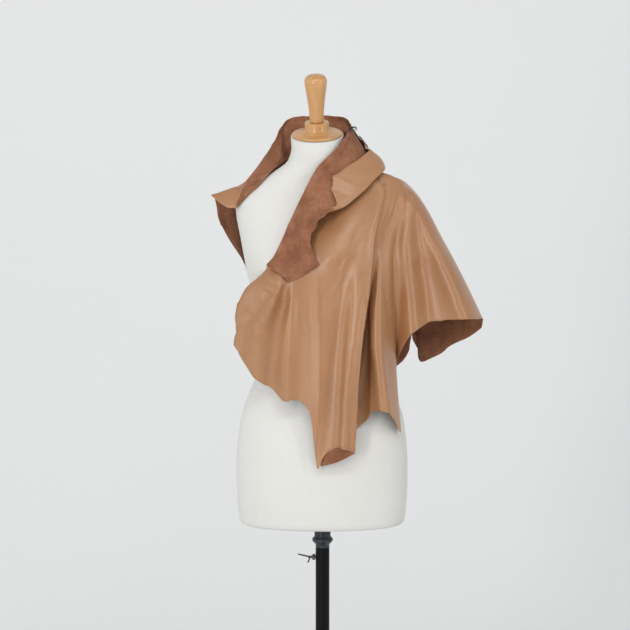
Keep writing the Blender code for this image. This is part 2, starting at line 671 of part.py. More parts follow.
def creased(grid, section_at, line_at):
    """The grid with the soft ridges and troughs of CREASES added along its normals."""
    normals = surface_normals(grid)
    lift = np.zeros(grid.shape[:2])
    for crease in CREASES:
        share = (line_at - crease.start_line) / (crease.end_line - crease.start_line)
        centre = crease.start_section + np.clip(share, 0, 1) * (crease.end_section - crease.start_section)
        fade = np.clip(4 * share, 0, 1) * (share > 0)
        offset = (section_at[:, None] - centre[None, :]) / crease.width
        lift += crease.height * fade[None, :] * np.exp(-(offset**2))
    return grid - normals * lift[..., None]


def waved(grid, section_at, line_at, waves):
    """The grid with bumps and bays along its raw edge, which fade out inwards."""
    grid = grid.copy()
    for edge in ("front", "hem"):
        if edge == "hem":
            rim, inner, at = grid[:, -1], grid[:, -2], section_at
            share = np.clip(line_at - (len(LINES) - 2), 0, 1)[None, :] ** 2
        else:
            rim, inner, at = grid[0], grid[1], line_at
            share = np.clip(1 - section_at / 0.8, 0, 1)[:, None] ** 2
        run = np.gradient(rim, axis=0)
        run /= np.maximum(np.linalg.norm(run, axis=-1, keepdims=True), 1e-9)
        out = rim - inner
        out -= np.sum(out * run, axis=-1, keepdims=True) * run
        out /= np.maximum(np.linalg.norm(out, axis=-1, keepdims=True), 1e-9)
        reach = np.zeros(len(at))
        for wave in waves:
            if wave.edge == edge:
                reach += wave.reach * np.exp(-(((at - wave.place) / wave.width) ** 2))
        move = out * reach[:, None]
        grid += share[..., None] * (move[:, None, :] if edge == "hem" else move[None, :, :])
    return grid


def build_clip_jaw(jaw, grid):
    """One jaw of the collar's clip: a flat bar that follows the leather just off its surface."""
    index = [section.name for section in SECTIONS].index(jaw.section)
    turned_before = sum(section.name in TURNED for section in SECTIONS[:index])
    row = ACROSS_STEPS * (index + 2 * turned_before)
    columns = slice(
        sum(line.steps for line in LINES[:jaw.first_line]),
        sum(line.steps for line in LINES[:jaw.last_line]) + 1,
    )
    path = grid[row, columns]
    normals = surface_normals(grid)[row, columns] * jaw.side
    tangents = np.gradient(path, axis=0)
    aside = np.cross(tangents, normals)
    aside /= np.linalg.norm(aside, axis=-1, keepdims=True)
    low = HIDE_THICKNESS / 2 + JAW_CLEARANCE
    points, faces = [], []
    for place, normal, side in zip(path, normals, aside):
        for across, height in ((-1, low), (1, low), (1, low + JAW_THICKNESS), (-1, low + JAW_THICKNESS)):
            points.append(place + normal * height + side * across * JAW_WIDTH / 2)
    for i in range(len(path) - 1):
        for k in range(4):
            a = 4 * i + k
            b = 4 * i + (k + 1) % 4
            faces.append((a, b, b + 4, a + 4))
    faces.append((3, 2, 1, 0))
    faces.append(tuple(range(len(points) - 4, len(points))))
    mesh = mesh_from(jaw.name, points, faces)
    facing_out(mesh)
    finished(jaw.name, mesh, (0.012, 0.012, 0.013), 0.3)


def facing_out(mesh):
    """Turn the mesh's faces outwards."""
    shape = bmesh.new()
    shape.from_mesh(mesh)
    bmesh.ops.recalc_face_normals(shape, faces=shape.faces)
    shape.to_mesh(mesh)
    shape.free()


def build_hide(grid):
    """The hide: both faces of the sheet and its cut edge, as one closed solid."""
    normals = surface_normals(grid)
    half = HIDE_THICKNESS / 2
    rows, columns = grid.shape[:2]
    points = np.concatenate([(grid - half * normals).reshape(-1, 3), (grid + half * normals).reshape(-1, 3)])
    flip = rows * columns
    faces = []
    for i in range(rows - 1):
        for j in range(columns - 1):
            a = i * columns + j
            b, c, d = a + 1, a + columns + 1, a + columns
            corners = grid.reshape(-1, 3)[[a, b, c, d]]
            if np.linalg.norm(corners[0] - corners[2]) > np.linalg.norm(corners[1] - corners[3]):
                halves = ((a, b, d), (b, c, d))
            else:
                halves = ((a, b, c), (a, c, d))
            for p, q, r in halves:
                faces.append((p, q, r))
                faces.append((flip + r, flip + q, flip + p))
    rim = [i * columns for i in range(rows)]
    rim += [(rows - 1) * columns + j for j in range(1, columns)]
    rim += [i * columns + columns - 1 for i in range(rows - 2, -1, -1)]
    rim += [j for j in range(columns - 2, 0, -1)]
    for here, there in zip(rim, rim[1:] + rim[:1]):
        faces.append((here, there, flip + there, flip + here))
    mesh = mesh_from("hide", points, faces)
    facing_out(mesh)
    finished("hide", mesh, (0.55, 0.31, 0.17), 0.42)


build_base()
build_tube()
build_rod_and_collar()
build_wing_screw()
build_form()
build_cap()
hide_grid = hide_surface(ACROSS_STEPS, 1)
build_hide(hide_grid)
for clip_jaw in CLIP_JAWS:
    build_clip_jaw(clip_jaw, hide_grid)
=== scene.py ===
import math
from collections import namedtuple

import bmesh
import bpy
import numpy as np
from mathutils import Matrix, Vector


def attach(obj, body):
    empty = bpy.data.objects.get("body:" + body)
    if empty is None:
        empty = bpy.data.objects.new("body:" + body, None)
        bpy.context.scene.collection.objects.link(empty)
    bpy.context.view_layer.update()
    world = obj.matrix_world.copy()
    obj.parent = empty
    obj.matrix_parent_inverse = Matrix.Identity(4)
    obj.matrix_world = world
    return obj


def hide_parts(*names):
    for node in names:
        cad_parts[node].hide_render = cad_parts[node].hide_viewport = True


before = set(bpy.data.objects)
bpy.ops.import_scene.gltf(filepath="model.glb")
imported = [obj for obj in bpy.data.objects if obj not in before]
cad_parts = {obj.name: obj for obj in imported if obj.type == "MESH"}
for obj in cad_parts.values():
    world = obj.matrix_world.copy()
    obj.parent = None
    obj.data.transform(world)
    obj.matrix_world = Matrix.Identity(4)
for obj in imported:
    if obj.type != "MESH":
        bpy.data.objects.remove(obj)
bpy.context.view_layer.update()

# Stand foot
# A heavy round metal disc with a domed hub that holds the tube, turned to shape and powder-coated black,
# with a fine orange-peel texture and a little dust.
FOOT_RADIUS = 0.190
FOOT_HUB_RADIUS = 0.024
FOOT_HUB_TOP = 0.042
FOOT_BORE_LOW = 0.006
TUBE_RADIUS = 0.014
TUBE_CLEARANCE = 0.0003
ROUND_STEPS = 96
WELD_DISTANCE = 0.00002
HARD_EDGE = 35


def select_only(piece):
    """Leave one piece selected and active."""
    bpy.ops.object.select_all(action="DESELECT")
    piece.select_set(True)
    bpy.context.view_layer.objects.active = piece


def rows_of(kind, *rows):
    """A table with one row of that kind for each tuple of values."""
    return [kind(*row) for row in rows]


def new_piece(name, data):
    """An object of a mesh or a curve, linked, selected and active."""
    piece = bpy.data.objects.new(name, data)
    bpy.context.collection.objects.link(piece)
    select_only(piece)
    return piece


def settled(piece):
    """A piece with its place, turn and scale moved into its mesh."""
    select_only(piece)
    bpy.ops.object.transform_apply(location=True, rotation=True, scale=True)
    return piece


def joined(first, others):
    """The pieces as one, which keeps the first one's name."""
    select_only(first)
    for piece in others:
        piece.select_set(True)
    bpy.ops.object.join()
    select_only(first)
    return first


def smooth_to(angle):
    """Shade the active piece smooth, with sharp edges where its faces meet at more than angle degrees."""
    bpy.ops.object.shade_smooth_by_angle(angle=math.radians(angle))


def arc(centre, radius, start, end, steps):
    """(radius, height) pairs on an arc round centre, from start to end in degrees."""
    turns = [math.radians(start + (end - start) * k / steps) for k in range(steps + 1)]
    return [(centre[0] + radius * math.cos(t), centre[1] + radius * math.sin(t)) for t in turns]


def spun(name, profile, steps=ROUND_STEPS):
    """A turned piece: its half section, as (radius, height) pairs from bottom to top, spun round the pole."""
    mesh = bpy.data.meshes.new(name)
    mesh.from_pydata([(r, 0, z) for r, z in profile], [(i, i + 1) for i in range(len(profile) - 1)], [])
    piece = new_piece(name, mesh)
    bpy.ops.object.mode_set(mode="EDIT")
    bpy.ops.mesh.select_all(action="SELECT")
    bpy.ops.mesh.spin(steps=steps, angle=2 * math.pi, center=(0, 0, 0), axis=(0, 0, 1))
    bpy.ops.mesh.select_all(action="SELECT")
    bpy.ops.mesh.remove_doubles(threshold=WELD_DISTANCE)
    bpy.ops.mesh.normals_make_consistent(inside=False)
    bpy.ops.object.mode_set(mode="OBJECT")
    smooth_to(HARD_EDGE)
    return piece


def finished(piece, material, body, slot, *nodes):
    """Give a piece its material and the body that it rides on, and hide the nodes that it stands for; the
    slot argument is not used.
    """
    piece.data.materials.clear()
    piece.data.materials.append(material)
    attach(piece, body)
    if nodes:
        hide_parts(*nodes)


def feed(node, **inputs):
    """Give a node's inputs, named or _0 for the first, their values or the sockets that feed them."""
    for key, value in inputs.items():
        socket = node.inputs[int(key[1:]) if key[0] == "_" else key.replace("_", " ")]
        if isinstance(value, bpy.types.NodeSocket):
            node.id_data.links.new(value, socket)
        else:
            socket.default_value = value
    return node


def new_material(name, **inputs):
    """A material, its node tree and its Principled shader with those inputs."""
    material = bpy.data.materials.new(name)
    material.use_nodes = True
    tree = material.node_tree
    return material, tree, feed(tree.nodes["Principled BSDF"], **inputs)


def add(tree, kind, settings=None, **inputs):
    """A new node with its settings and its inputs."""
    node = tree.nodes.new(kind)
    for key, value in (settings or {}).items():
        setattr(node, key, value)
    return feed(node, **inputs)


def ramp(tree, factor, *stops):
    """A colour ramp node fed by factor, with (place, colour) stops."""
    node = add(tree, "ShaderNodeValToRGB", Fac=factor)
    elements = node.color_ramp.elements
    while len(elements) < len(stops):
        elements.new(0.5)
    for element, (place, colour) in zip(elements, stops):
        element.position = place
        element.color = (*colour, 1)
    return node.outputs["Color"]


def mixed(tree, factor, first, second):
    """The colour between first and second at factor."""
    return add(tree, "ShaderNodeMix", {"data_type": "RGBA"}, _0=factor, _6=first, _7=second).outputs[2]


def blended(tree, factor, first, second):
    """The number between first and second at factor."""
    return add(tree, "ShaderNodeMix", {"data_type": "FLOAT"}, _0=factor, _2=first, _3=second).outputs[0]


def maths(tree, operation, first, second):
    """The result of a sum on two numbers."""
    return add(tree, "ShaderNodeMath", {"operation": operation}, _0=first, _1=second).outputs[0]


def noise(tree, place, scale, **inputs):
    """The strength of a noise at a place, from 0 to 1."""
    return add(tree, "ShaderNodeTexNoise", Vector=place, Scale=scale, **inputs).outputs["Fac"]


def breakup_group():
    """Shared unevenness: a broad and a fine noise on the piece's own place, as a mask and as a height."""
    group = bpy.data.node_groups.new("uneven_surface", "ShaderNodeTree")
    face = group.interface
    face.new_socket(name="Place", in_out="INPUT", socket_type="NodeSocketVector")
    for name in ("Broad scale", "Fine scale", "Fine share"):
        face.new_socket(name=name, in_out="INPUT", socket_type="NodeSocketFloat")
    for name in ("Mask", "Height"):
        face.new_socket(name=name, in_out="OUTPUT", socket_type="NodeSocketFloat")
    start = group.nodes.new("NodeGroupInput")
    end = group.nodes.new("NodeGroupOutput")
    place, broad_scale, fine_scale, share = list(start.outputs)[:4]
    broad = noise(group, place, broad_scale, Detail=4.0, Roughness=0.6)
    fine = noise(group, place, fine_scale, Detail=3.0, Roughness=0.55)
    feed(end, Mask=blended(group, share, broad, fine), Height=fine)
    return group


uneven = breakup_group()


def unevenness(tree, broad, fine, share):
    """The shared unevenness placed in a material: its mask and its height."""
    place = add(tree, "ShaderNodeTexCoord").outputs["Object"]
    node = add(tree, "ShaderNodeGroup", {"node_tree": uneven}, Place=place, Broad_scale=broad,
               Fine_scale=fine, Fine_share=share)
    return node.outputs["Mask"], node.outputs["Height"]


def relief(tree, height, depth, strength=1.0):
    """The normal of a relief made of a height and its depth in metres."""
    return add(tree, "ShaderNodeBump", Height=height, Distance=depth, Strength=strength).outputs["Normal"]


def coated_metal(name, dark, light, roughness, metallic=0.0, specular=0.5):
    """Coated metal: a fine orange-peel skin, slightly uneven in tone and gloss."""
    material, tree, shader = new_material(name, Metallic=metallic, Specular_IOR_Level=specular)
    mask, height = unevenness(tree, 9.0, 1400.0, 0.3)
    feed(shader, Base_Color=ramp(tree, mask, (0.35, dark), (0.68, light)),
         Roughness=blended(tree, mask, roughness - 0.1, roughness + 0.12),
         Normal=relief(tree, height, 0.00008))
    return material


black_coat = coated_metal("black_powder_coat", (0.0035, 0.0035, 0.0038), (0.0070, 0.0070, 0.0075), 0.34,
                          specular=0.1)

foot_profile = [(0, 0), (FOOT_RADIUS - 0.004, 0)]
foot_profile += arc((FOOT_RADIUS - 0.003, 0.003), 0.003, -80, 0, 5)
foot_profile += arc((FOOT_RADIUS - 0.004, 0.006), 0.004, 10, 88, 6)
foot_profile += [(0.150, 0.0112), (0.110, 0.0130), (0.070, 0.0152), (0.050, 0.0168), (0.036, 0.0186)]
foot_profile += [(0.0295, 0.0204), (0.0255, 0.0232), (FOOT_HUB_RADIUS, 0.0262), (FOOT_HUB_RADIUS, 0.0385)]
foot_profile += arc((FOOT_HUB_RADIUS - 0.0025, FOOT_HUB_TOP - 0.0025), 0.0025, 10, 90, 4)
foot_profile += [(TUBE_RADIUS + TUBE_CLEARANCE, height) for height in (FOOT_HUB_TOP, FOOT_BORE_LOW)]
foot_profile += [(0, FOOT_BORE_LOW)]
foot = spun("foot", foot_profile)
finished(foot, black_coat, "stand", "black_metal", "stand_base")

# Stand tube
# The fixed tube is drawn steel, coated black. Its top is open and slightly rolled in, and the height rod
# slides in it.
TUBE_TOP = 0.672
TUBE_FOOT = 0.0062
TUBE_WALL = 0.0024
TUBE_LIP = 0.0008
TUBE_BORE_DEPTH = 0.60

tube_inner = TUBE_RADIUS - TUBE_WALL
tube_profile = [(0, TUBE_FOOT), (TUBE_RADIUS, TUBE_FOOT), (TUBE_RADIUS, TUBE_TOP - TUBE_LIP)]
tube_profile += [(TUBE_RADIUS - TUBE_LIP, TUBE_TOP), (tube_inner + TUBE_LIP / 2, TUBE_TOP)]
tube_profile += [(tube_inner, TUBE_TOP - TUBE_LIP), (tube_inner, TUBE_TOP - TUBE_BORE_DEPTH)]
tube_profile += [(0, TUBE_TOP - TUBE_BORE_DEPTH)]
tube = spun("tube", tube_profile, 64)
finished(tube, black_coat, "stand", "black_metal", "stand_tube")

# Height rod and its collar
# A steel rod slides in the tube. The turned collar on it is dark blue-grey lacquer with a bead, and carries
# the form.
ROD_RADIUS = 0.011
ROD_BOTTOM = 0.190
COLLAR_TOP = 0.7237
COLLAR_LOW = TUBE_TOP + 0.0003
BEAD_RADIUS = 0.021
NECK_RADIUS = 0.0164

rod_profile = [(0, ROD_BOTTOM), (ROD_RADIUS - 0.001, ROD_BOTTOM), (ROD_RADIUS, ROD_BOTTOM + 0.0015)]
rod_profile += [(ROD_RADIUS, COLLAR_LOW), (TUBE_RADIUS - 0.0004, COLLAR_LOW)]
rod_profile += [(TUBE_RADIUS, COLLAR_LOW + 0.0006), (TUBE_RADIUS, COLLAR_LOW + 0.0055)]
rod_profile += [(0.0152, COLLAR_LOW + 0.0068), (NECK_RADIUS, COLLAR_LOW + 0.0086)]
rod_profile += arc((BEAD_RADIUS - 0.0062, COLLAR_LOW + 0.0158), 0.0062, -62, 68, 14)
rod_profile += [(NECK_RADIUS, COLLAR_LOW + 0.0226), (NECK_RADIUS, COLLAR_TOP - 0.001)]
rod_profile += [(0.0156, COLLAR_TOP), (0, COLLAR_TOP)]
rod = spun("rod_and_collar", rod_profile, 64)
blue_coat = coated_metal("blue_grey_lacquer", (0.016, 0.021, 0.030), (0.030, 0.038, 0.052), 0.28,
                         specular=0.4)
finished(rod, blue_coat, "mast", "blued_metal", "height_rod")

# Wing screw
# The little screw clamps the rod through the tube's side. It is plain steel: a shank, a ribbed boss and two
# ears.
SCREW_HEIGHT = 0.652
SCREW_RADIUS = 0.0028
BOSS_START = TUBE_RADIUS + 0.0008
BOSS_RADIUS = 0.006
BOSS_END = BOSS_START + 0.005
BOSS_RIBS = 24
RIB_DEPTH = 0.045
EAR_ROOT = BOSS_END + 0.005

screw_profile = [(0, ROD_RADIUS + 0.0004), (SCREW_RADIUS - 0.0008, ROD_RADIUS + 0.0004)]
screw_profile += [(SCREW_RADIUS, ROD_RADIUS + 0.0012), (SCREW_RADIUS, BOSS_START)]
screw_profile += [(BOSS_RADIUS - 0.0005, BOSS_START), (BOSS_RADIUS, BOSS_START + 0.0005)]
screw_profile += [(BOSS_RADIUS, BOSS_END), (BOSS_RADIUS - 0.0008, BOSS_END + 0.0008)]
screw_profile += [(0.0026, BOSS_END + 0.0014), (0.0026, BOSS_END + 0.0084), (0.0018, BOSS_END + 0.0092)]
screw_profile += [(0, BOSS_END + 0.0092)]
screw = spun("wing_screw_steel", screw_profile, 2 * BOSS_RIBS)
for vertex in screw.data.vertices:
    radius = math.hypot(vertex.co.x, vertex.co.y)
    if radius > BOSS_RADIUS - 0.0002:
        turn = math.atan2(vertex.co.y, vertex.co.x)
        groove = 1 - RIB_DEPTH * (1 + math.cos(turn * BOSS_RIBS)) / 2
        vertex.co.x *= groove
        vertex.co.y *= groove


def ear(start, end, width, thickness):
    """A flat ear of the wing screw from one place to another, rounded at its tip."""
    run = Vector(end) - Vector(start)
    bpy.ops.mesh.primitive_cube_add(size=1, location=(Vector(start) + Vector(end)) / 2)
    piece = bpy.context.object
    piece.scale = (run.length, width, thickness)
    piece.rotation_euler = run.to_track_quat("X", "Z").to_euler()
    settled(piece)
    bevel = piece.modifiers.new("rounding", "BEVEL")
    bevel.width = 0.42 * thickness
    bevel.segments = 3
    bevel.limit_method = "NONE"
    bpy.ops.object.modifier_apply(modifier="rounding")
    return piece


ears = [
    ear((0, 0, EAR_ROOT), (0.006, 0, EAR_ROOT + 0.025), 0.004, 0.003),
    ear((0, 0, EAR_ROOT), (-0.012, 0, EAR_ROOT + 0.005), 0.0045, 0.003),
]
joined(screw, ears)
screw.rotation_euler = (0, -math.pi / 2, 0)
screw.location = (0, 0, SCREW_HEIGHT)
settled(screw)
smooth_to(HARD_EDGE)
steel = coated_metal("plain_steel", (0.07, 0.07, 0.075), (0.15, 0.15, 0.155), 0.38, 1.0)
finished(screw, steel, "screw", "steel", "wing_screw")

# Dress form
# The torso is a padded shell covered in unbleached linen, with faint seams where its panels meet. The
# weave, the slubs and the seams are laid out on its own UV map, in metres.
MM = 0.001
FORM_BOTTOM = 724.0
NECK_TOP = 1503.0
NECK_TILT = math.radians(14)
NECK_TILT_START = 1450.0
BUST_HEIGHT = 1236.0
BUST_SWELL = 20.0
BUST_ANGLE = math.radians(37)
BUST_SPREAD = 0.36
BUST_RISE = 44.0
FORM_RIM = 9.0
FORM_RIM_RINGS = ((0, 1), (0.7, 0.62), (2.5, 0.33), (5.5, 0.1))
FORM_SIDES = 160
FORM_STEP = 7.0
FORM_SQUARENESS = 2.25
RIM_EDGE = 50
UV_RADIUS = 130.0
CAP_LEAN = math.radians(-1.5)

# One row for each level of the form: half widths to the side, to the front and to the back, and its centre
Level = namedtuple("Level", "height side front back centre_x centre_y")
FORM_LEVELS = rows_of(
    Level,
    (724, 166, 110, 116, -1, 0),
    (780, 171, 115, 122, -1, 0),
    (834, 172, 116, 124, -1, 0),
    (894, 169, 112, 120, -1, 0),
    (948, 160, 104, 108, -1, 0),
    (990, 144, 96, 94, -2, 0),
    (1044, 122, 88, 80, -3, 0),
    (1100, 124, 92, 82, -4, 0),
    (1174, 134, 102, 92, -4, 0),
    (1236, 147, 106, 102, -5, 2),
    (1300, 159, 99, 108, -5, 4),
    (1354, 168, 84, 102, -5, 6),
    (1380, 168, 72, 88, -5, 6),
    (1396, 154, 62, 74, -6, 5),
    (1412, 126, 56, 64, -7, 2),
    (1430, 92, 54, 58, -8, -3),
    (1448, 64, 53, 55, -9, -8),
    (1466, 54, 53, 53, -10, -11),
    (1503, 52, 52, 52, -11, -12),
)


def curve_slopes(run, gaps):
    """The slope at each knot of a curve, from those of the stretches beside it, weighted by their lengths."""
    inner = (run[:-1] * gaps[1:] + run[1:] * gaps[:-1]) / (gaps[1:] + gaps[:-1])
    return np.concatenate([run[:1], inner, run[-1:]])


def curve_place(values, slopes, gaps, i, t):
    """The place on the curve at the share t of the way from knot i to the next."""
    return (values[i] * (1 + 2 * t) * (1 - t) ** 2 + slopes[i] * gaps[i] * t * (1 - t) ** 2
            + values[i + 1] * t**2 * (3 - 2 * t) + slopes[i + 1] * gaps[i] * t**2 * (t - 1))


def spline(knots, values, at):
    """Smooth curve through values at knots, read at the places in at."""
    knots = np.asarray(knots, float)
    values = np.asarray(values, float)
    gaps = np.diff(knots)
    at = np.clip(at, knots[0], knots[-1])
    i = np.clip(np.searchsorted(knots, at, side="right") - 1, 0, len(gaps) - 1)
    return curve_place(values, curve_slopes(np.diff(values) / gaps, gaps), gaps, i, (at - knots[i]) / gaps[i])


def form_level(height):
    """The form's half widths and centre at a height, as a Level of arrays."""
    heights = [level.height for level in FORM_LEVELS]
    return Level(*[spline(heights, column, height) for column in zip(*FORM_LEVELS)])


def form_radius(angle, height):
    """The form's horizontal radius about its centre, with its two bust swells."""
    level = form_level(height)
    depth = np.where(np.sin(angle) < 0, level.front, level.back)
    sideways = (np.abs(np.cos(angle)) / level.side) ** FORM_SQUARENESS
    forwards = (np.abs(np.sin(angle)) / depth) ** FORM_SQUARENESS
    radius = (sideways + forwards) ** (-1 / FORM_SQUARENESS)
    rise = np.exp(-(((height - BUST_HEIGHT) / BUST_RISE) ** 2))
    for side in (-1, 1):
        turn = angle + math.pi / 2 - side * BUST_ANGLE
        turn = (turn + math.pi) % (2 * math.pi) - math.pi
        radius = radius + BUST_SWELL * rise * np.exp(-((turn / BUST_SPREAD) ** 2))
    return radius


# Panel seams: where each one runs round the form at its foot and at its top, in degrees from the front
Seam = namedtuple("Seam", "foot bust top lowest highest")
SEAMS = rows_of(
    Seam,
    (-24, -30, -17, 724, 1412),
    (24, 30, 17, 724, 1412),
    (-86, -88, -90, 724, 1390),
    (86, 88, 90, 724, 1390),
    (180, 180, 180, 724, 1500),
    (150, 148, 158, 724, 1412),
    (-150, -148, -158, 724, 1412),
)
SEAM_WIDTH = 1.3
SEAM_DEPTH = 0.35


def seam_depth(angle, height):
    """How deep the form's surface is drawn in at its seams, in millimetres."""
    depth = 0.0
    for seam in SEAMS:
        centre = np.interp(height, [FORM_BOTTOM, BUST_HEIGHT, NECK_TOP], [seam.foot, seam.bust, seam.top])
        off = np.degrees(angle) + 90 - centre
        off = (off + 180) % 360 - 180
        across = np.radians(off) * UV_RADIUS
        shown = (height >= seam.lowest - 1) & (height <= seam.highest)
        depth = np.maximum(depth, np.where(shown, SEAM_DEPTH * np.exp(-((across / SEAM_WIDTH) ** 2)), 0))
    return depth


def build_torso():
    """The linen torso as a ring for every few millimetres of height, with its UV map in metres."""
    count = round((NECK_TOP - FORM_BOTTOM) / FORM_STEP)
    heights = np.linspace(FORM_BOTTOM, NECK_TOP, count + 1)
    angles = 2 * math.pi * np.arange(FORM_SIDES) / FORM_SIDES
    rings = [(FORM_BOTTOM + rise, FORM_RIM * share) for rise, share in FORM_RIM_RINGS]
    rings += [(height, 0) for height in heights[2:]]
    points, faces = [], []
    for height, inset in rings:
        level = form_level(np.array(height))
        radius = form_radius(angles, np.full(FORM_SIDES, height)) - inset
        radius = radius - seam_depth(angles, np.full(FORM_SIDES, height))
        tilt = np.clip((height - NECK_TILT_START) / (NECK_TOP - NECK_TILT_START), 0, 1)
        for angle, r in zip(angles, radius):
            x = r * math.cos(angle)
            y = r * math.sin(angle)
            z = height + tilt * (y * math.tan(NECK_TILT) - x * math.tan(CAP_LEAN))
            points.append((MM * (x + float(level.centre_x)), MM * (y + float(level.centre_y)), MM * z))
    for row in range(len(rings) - 1):
        for k in range(FORM_SIDES):
            a = row * FORM_SIDES + k
            b = row * FORM_SIDES + (k + 1) % FORM_SIDES
            faces.append((a, b, b + FORM_SIDES, a + FORM_SIDES))
    faces.append(tuple(reversed(range(FORM_SIDES))))
    faces.append(tuple(range(len(points) - FORM_SIDES, len(points))))
    mesh = bpy.data.meshes.new("torso")
    mesh.from_pydata(points, [], faces)
    layer = mesh.uv_layers.new(name="weave")
    for face in mesh.polygons:
        columns = [mesh.loops[i].vertex_index % FORM_SIDES for i in face.loop_indices]
        wraps = max(columns) - min(columns) > FORM_SIDES / 2 and len(columns) == 4
        for i, column in zip(face.loop_indices, columns):
            vertex = mesh.vertices[mesh.loops[i].vertex_index].co
            turn = column + FORM_SIDES if wraps and column < FORM_SIDES / 2 else column
            if len(columns) == 4:
                layer.data[i].uv = (turn / FORM_SIDES * 2 * math.pi * UV_RADIUS * MM, vertex.z)
            else:
                layer.data[i].uv = (vertex.x, vertex.y)
    piece = new_piece("torso", mesh)
    smooth_to(RIM_EDGE)
    return piece


def stretched(tree, place, scale):
    """A place with its three sides scaled."""
    return add(tree, "ShaderNodeMapping", Vector=place, Scale=scale).outputs["Vector"]


def linen():
    """Unbleached linen: a fine plain weave with thin slubs both ways, matt and slightly fuzzy."""
    material, tree, shader = new_material("linen", Roughness=0.95, Sheen_Weight=0.15, Sheen_Roughness=0.5,
                                          Specular_IOR_Level=0.2)
    uv = add(tree, "ShaderNodeUVMap", {"uv_map": "weave"}).outputs["UV"]
    threads = []
    for direction in ("X", "Y"):
        wave = add(tree, "ShaderNodeTexWave", {"wave_type": "BANDS", "bands_direction": direction}, Vector=uv,
                   Scale=400.0, Distortion=2.5, Detail=2.0, Detail_Scale=3.0)
        threads.append(wave.outputs["Fac"])
    weave = maths(tree, "MULTIPLY", *threads)
    slubs = []
    for stretch in ((26.0, 900.0, 1.0), (900.0, 26.0, 1.0)):
        slubs.append(noise(tree, stretched(tree, uv, stretch), 1.0, Detail=2.0))
    slub = blended(tree, 0.5, *slubs)
    broad, _ = unevenness(tree, 5.0, 60.0, 0.3)
    tone = blended(tree, 0.6, slub, broad)
    colour = ramp(tree, tone, (0.34, (0.650, 0.643, 0.612)), (0.66, (0.710, 0.704, 0.678)))
    threaded = mixed(tree, blended(tree, 0.88, weave, 1.0), (0.60, 0.585, 0.545, 1), colour)
    feed(shader, Base_Color=threaded, Normal=relief(tree, blended(tree, 0.4, weave, slub), 0.00012))
    return material


torso = build_torso()
finished(torso, linen(), "form", "linen", "form_torso")

# Neck cap and finial
# Both are turned from pale wood and lacquered: a flat disc with a step, and a tapering finial with a
# rounded top. They lean a little with the form's tilted neck, and their grain runs up the finial.
CAP_RADIUS = 0.050
CAP_RING_RADIUS = 0.024
CAP_RING_TOP = 0.028
FINIAL_RADIUS = 0.0223
FINIAL_TOP = 0.125

cap_profile = [(0, 0.0004), (CAP_RADIUS - 0.0025, 0.0004)]
cap_profile += arc((CAP_RADIUS - 0.0026, 0.0029), 0.0026, -60, 60, 8)
cap_profile += [(0.0450, 0.0062), (0.0400, 0.0068), (0.0350, 0.0072), (0.0315, 0.0078), (0.0300, 0.0090)]
cap_profile += [(0.0285, 0.0104), (0.0262, 0.0112), (0.0246, 0.0120), (CAP_RING_RADIUS, 0.0135)]
cap_profile += [(CAP_RING_RADIUS, CAP_RING_TOP - 0.0026)]
cap_profile += arc((CAP_RING_RADIUS - 0.0026, CAP_RING_TOP - 0.0026), 0.0026, 10, 90, 5)
cap_profile += [(0, CAP_RING_TOP)]
neck_cap = spun("neck_cap_wood", cap_profile)

finial_low = CAP_RING_TOP + 0.0003
finial_profile = [(0, finial_low)]
finial_profile += [(radius, finial_low + rise) for radius, rise in (
    (0.0122, 0), (0.0136, 0.0012), (0.0139, 0.003), (0.0143, 0.012), (0.0152, 0.025), (0.0168, 0.039),
    (0.0185, 0.052), (0.0203, 0.064), (0.0217, 0.074))]
finial_profile += arc((FINIAL_RADIUS - 0.0128, FINIAL_TOP - 0.0142), 0.0128, -8, 62, 12)
finial_profile += [(radius, FINIAL_TOP - drop) for radius, drop in (
    (0.0120, 0.0021), (0.0075, 0.0008), (0.0036, 0.0002), (0, 0))]
finial = spun("finial_wood", finial_profile)


def turned_wood():
    """Pale turned wood: faint streaks up the grain and soft broad figure under a smooth satin lacquer."""
    material, tree, shader = new_material("turned_wood", Coat_Weight=0.35, Coat_Roughness=0.16)
    place = add(tree, "ShaderNodeTexCoord").outputs["Object"]
    streaks = noise(tree, stretched(tree, place, (620.0, 620.0, 14.0)), 1.0, Detail=4.0, Roughness=0.6)
    figure = noise(tree, stretched(tree, place, (60.0, 60.0, 9.0)), 1.0, Detail=3.0, Distortion=0.6)
    tone = blended(tree, 0.55, streaks, figure)
    colour = ramp(tree, tone, (0.30, (0.455, 0.222, 0.075)), (0.52, (0.540, 0.285, 0.105)),
                  (0.72, (0.600, 0.340, 0.140)))
    feed(shader, Base_Color=colour, Roughness=blended(tree, streaks, 0.28, 0.40),
         Normal=relief(tree, streaks, 0.00002))
    return material


seat = Level(*[float(column) for column in form_level(np.array(NECK_TOP))])
wood = turned_wood()
for piece, node in ((neck_cap, "neck_cap"), (finial, "finial")):
    piece.location = (seat.centre_x * MM, seat.centre_y * MM, NECK_TOP * MM)
    piece.rotation_euler = (NECK_TILT, CAP_LEAN, 0)
    finished(settled(piece), wood, "form", "wood", node)

# Hide
# One skin, tanned and cut once: semi-gloss grain on one side, brown suede on the other, a raw edge all
# round. It hangs as a cape whose neck edge is turned back as a collar, with narrow folds and small nicks.
HIDE_THICKNESS = 1.2
LEAST_GAP = 0.05
THROAT_SHARE = 0.45
PUSH_ROUNDS = 8
PUSH_PROBE = 0.5
PUSH_LIMIT = 12
LAY_ROUNDS = 3
BLUR_ROUNDS = 4
FREE_EDGE_REACH = 0.8
RAW_EDGE_BULGE = 0.8
FLESH_EDGE = 60
BACK_CLEARANCE = 1.6
WING_CLEARANCE = 3.2
THROAT_SEAT = 1.9
WING_SNUG = 0.3
FOLD_WIDTH = 9.0
FOLD_REACH = 7.0
EYE_DISTANCE = 5000.0
EYE_HEIGHT = 1700.0

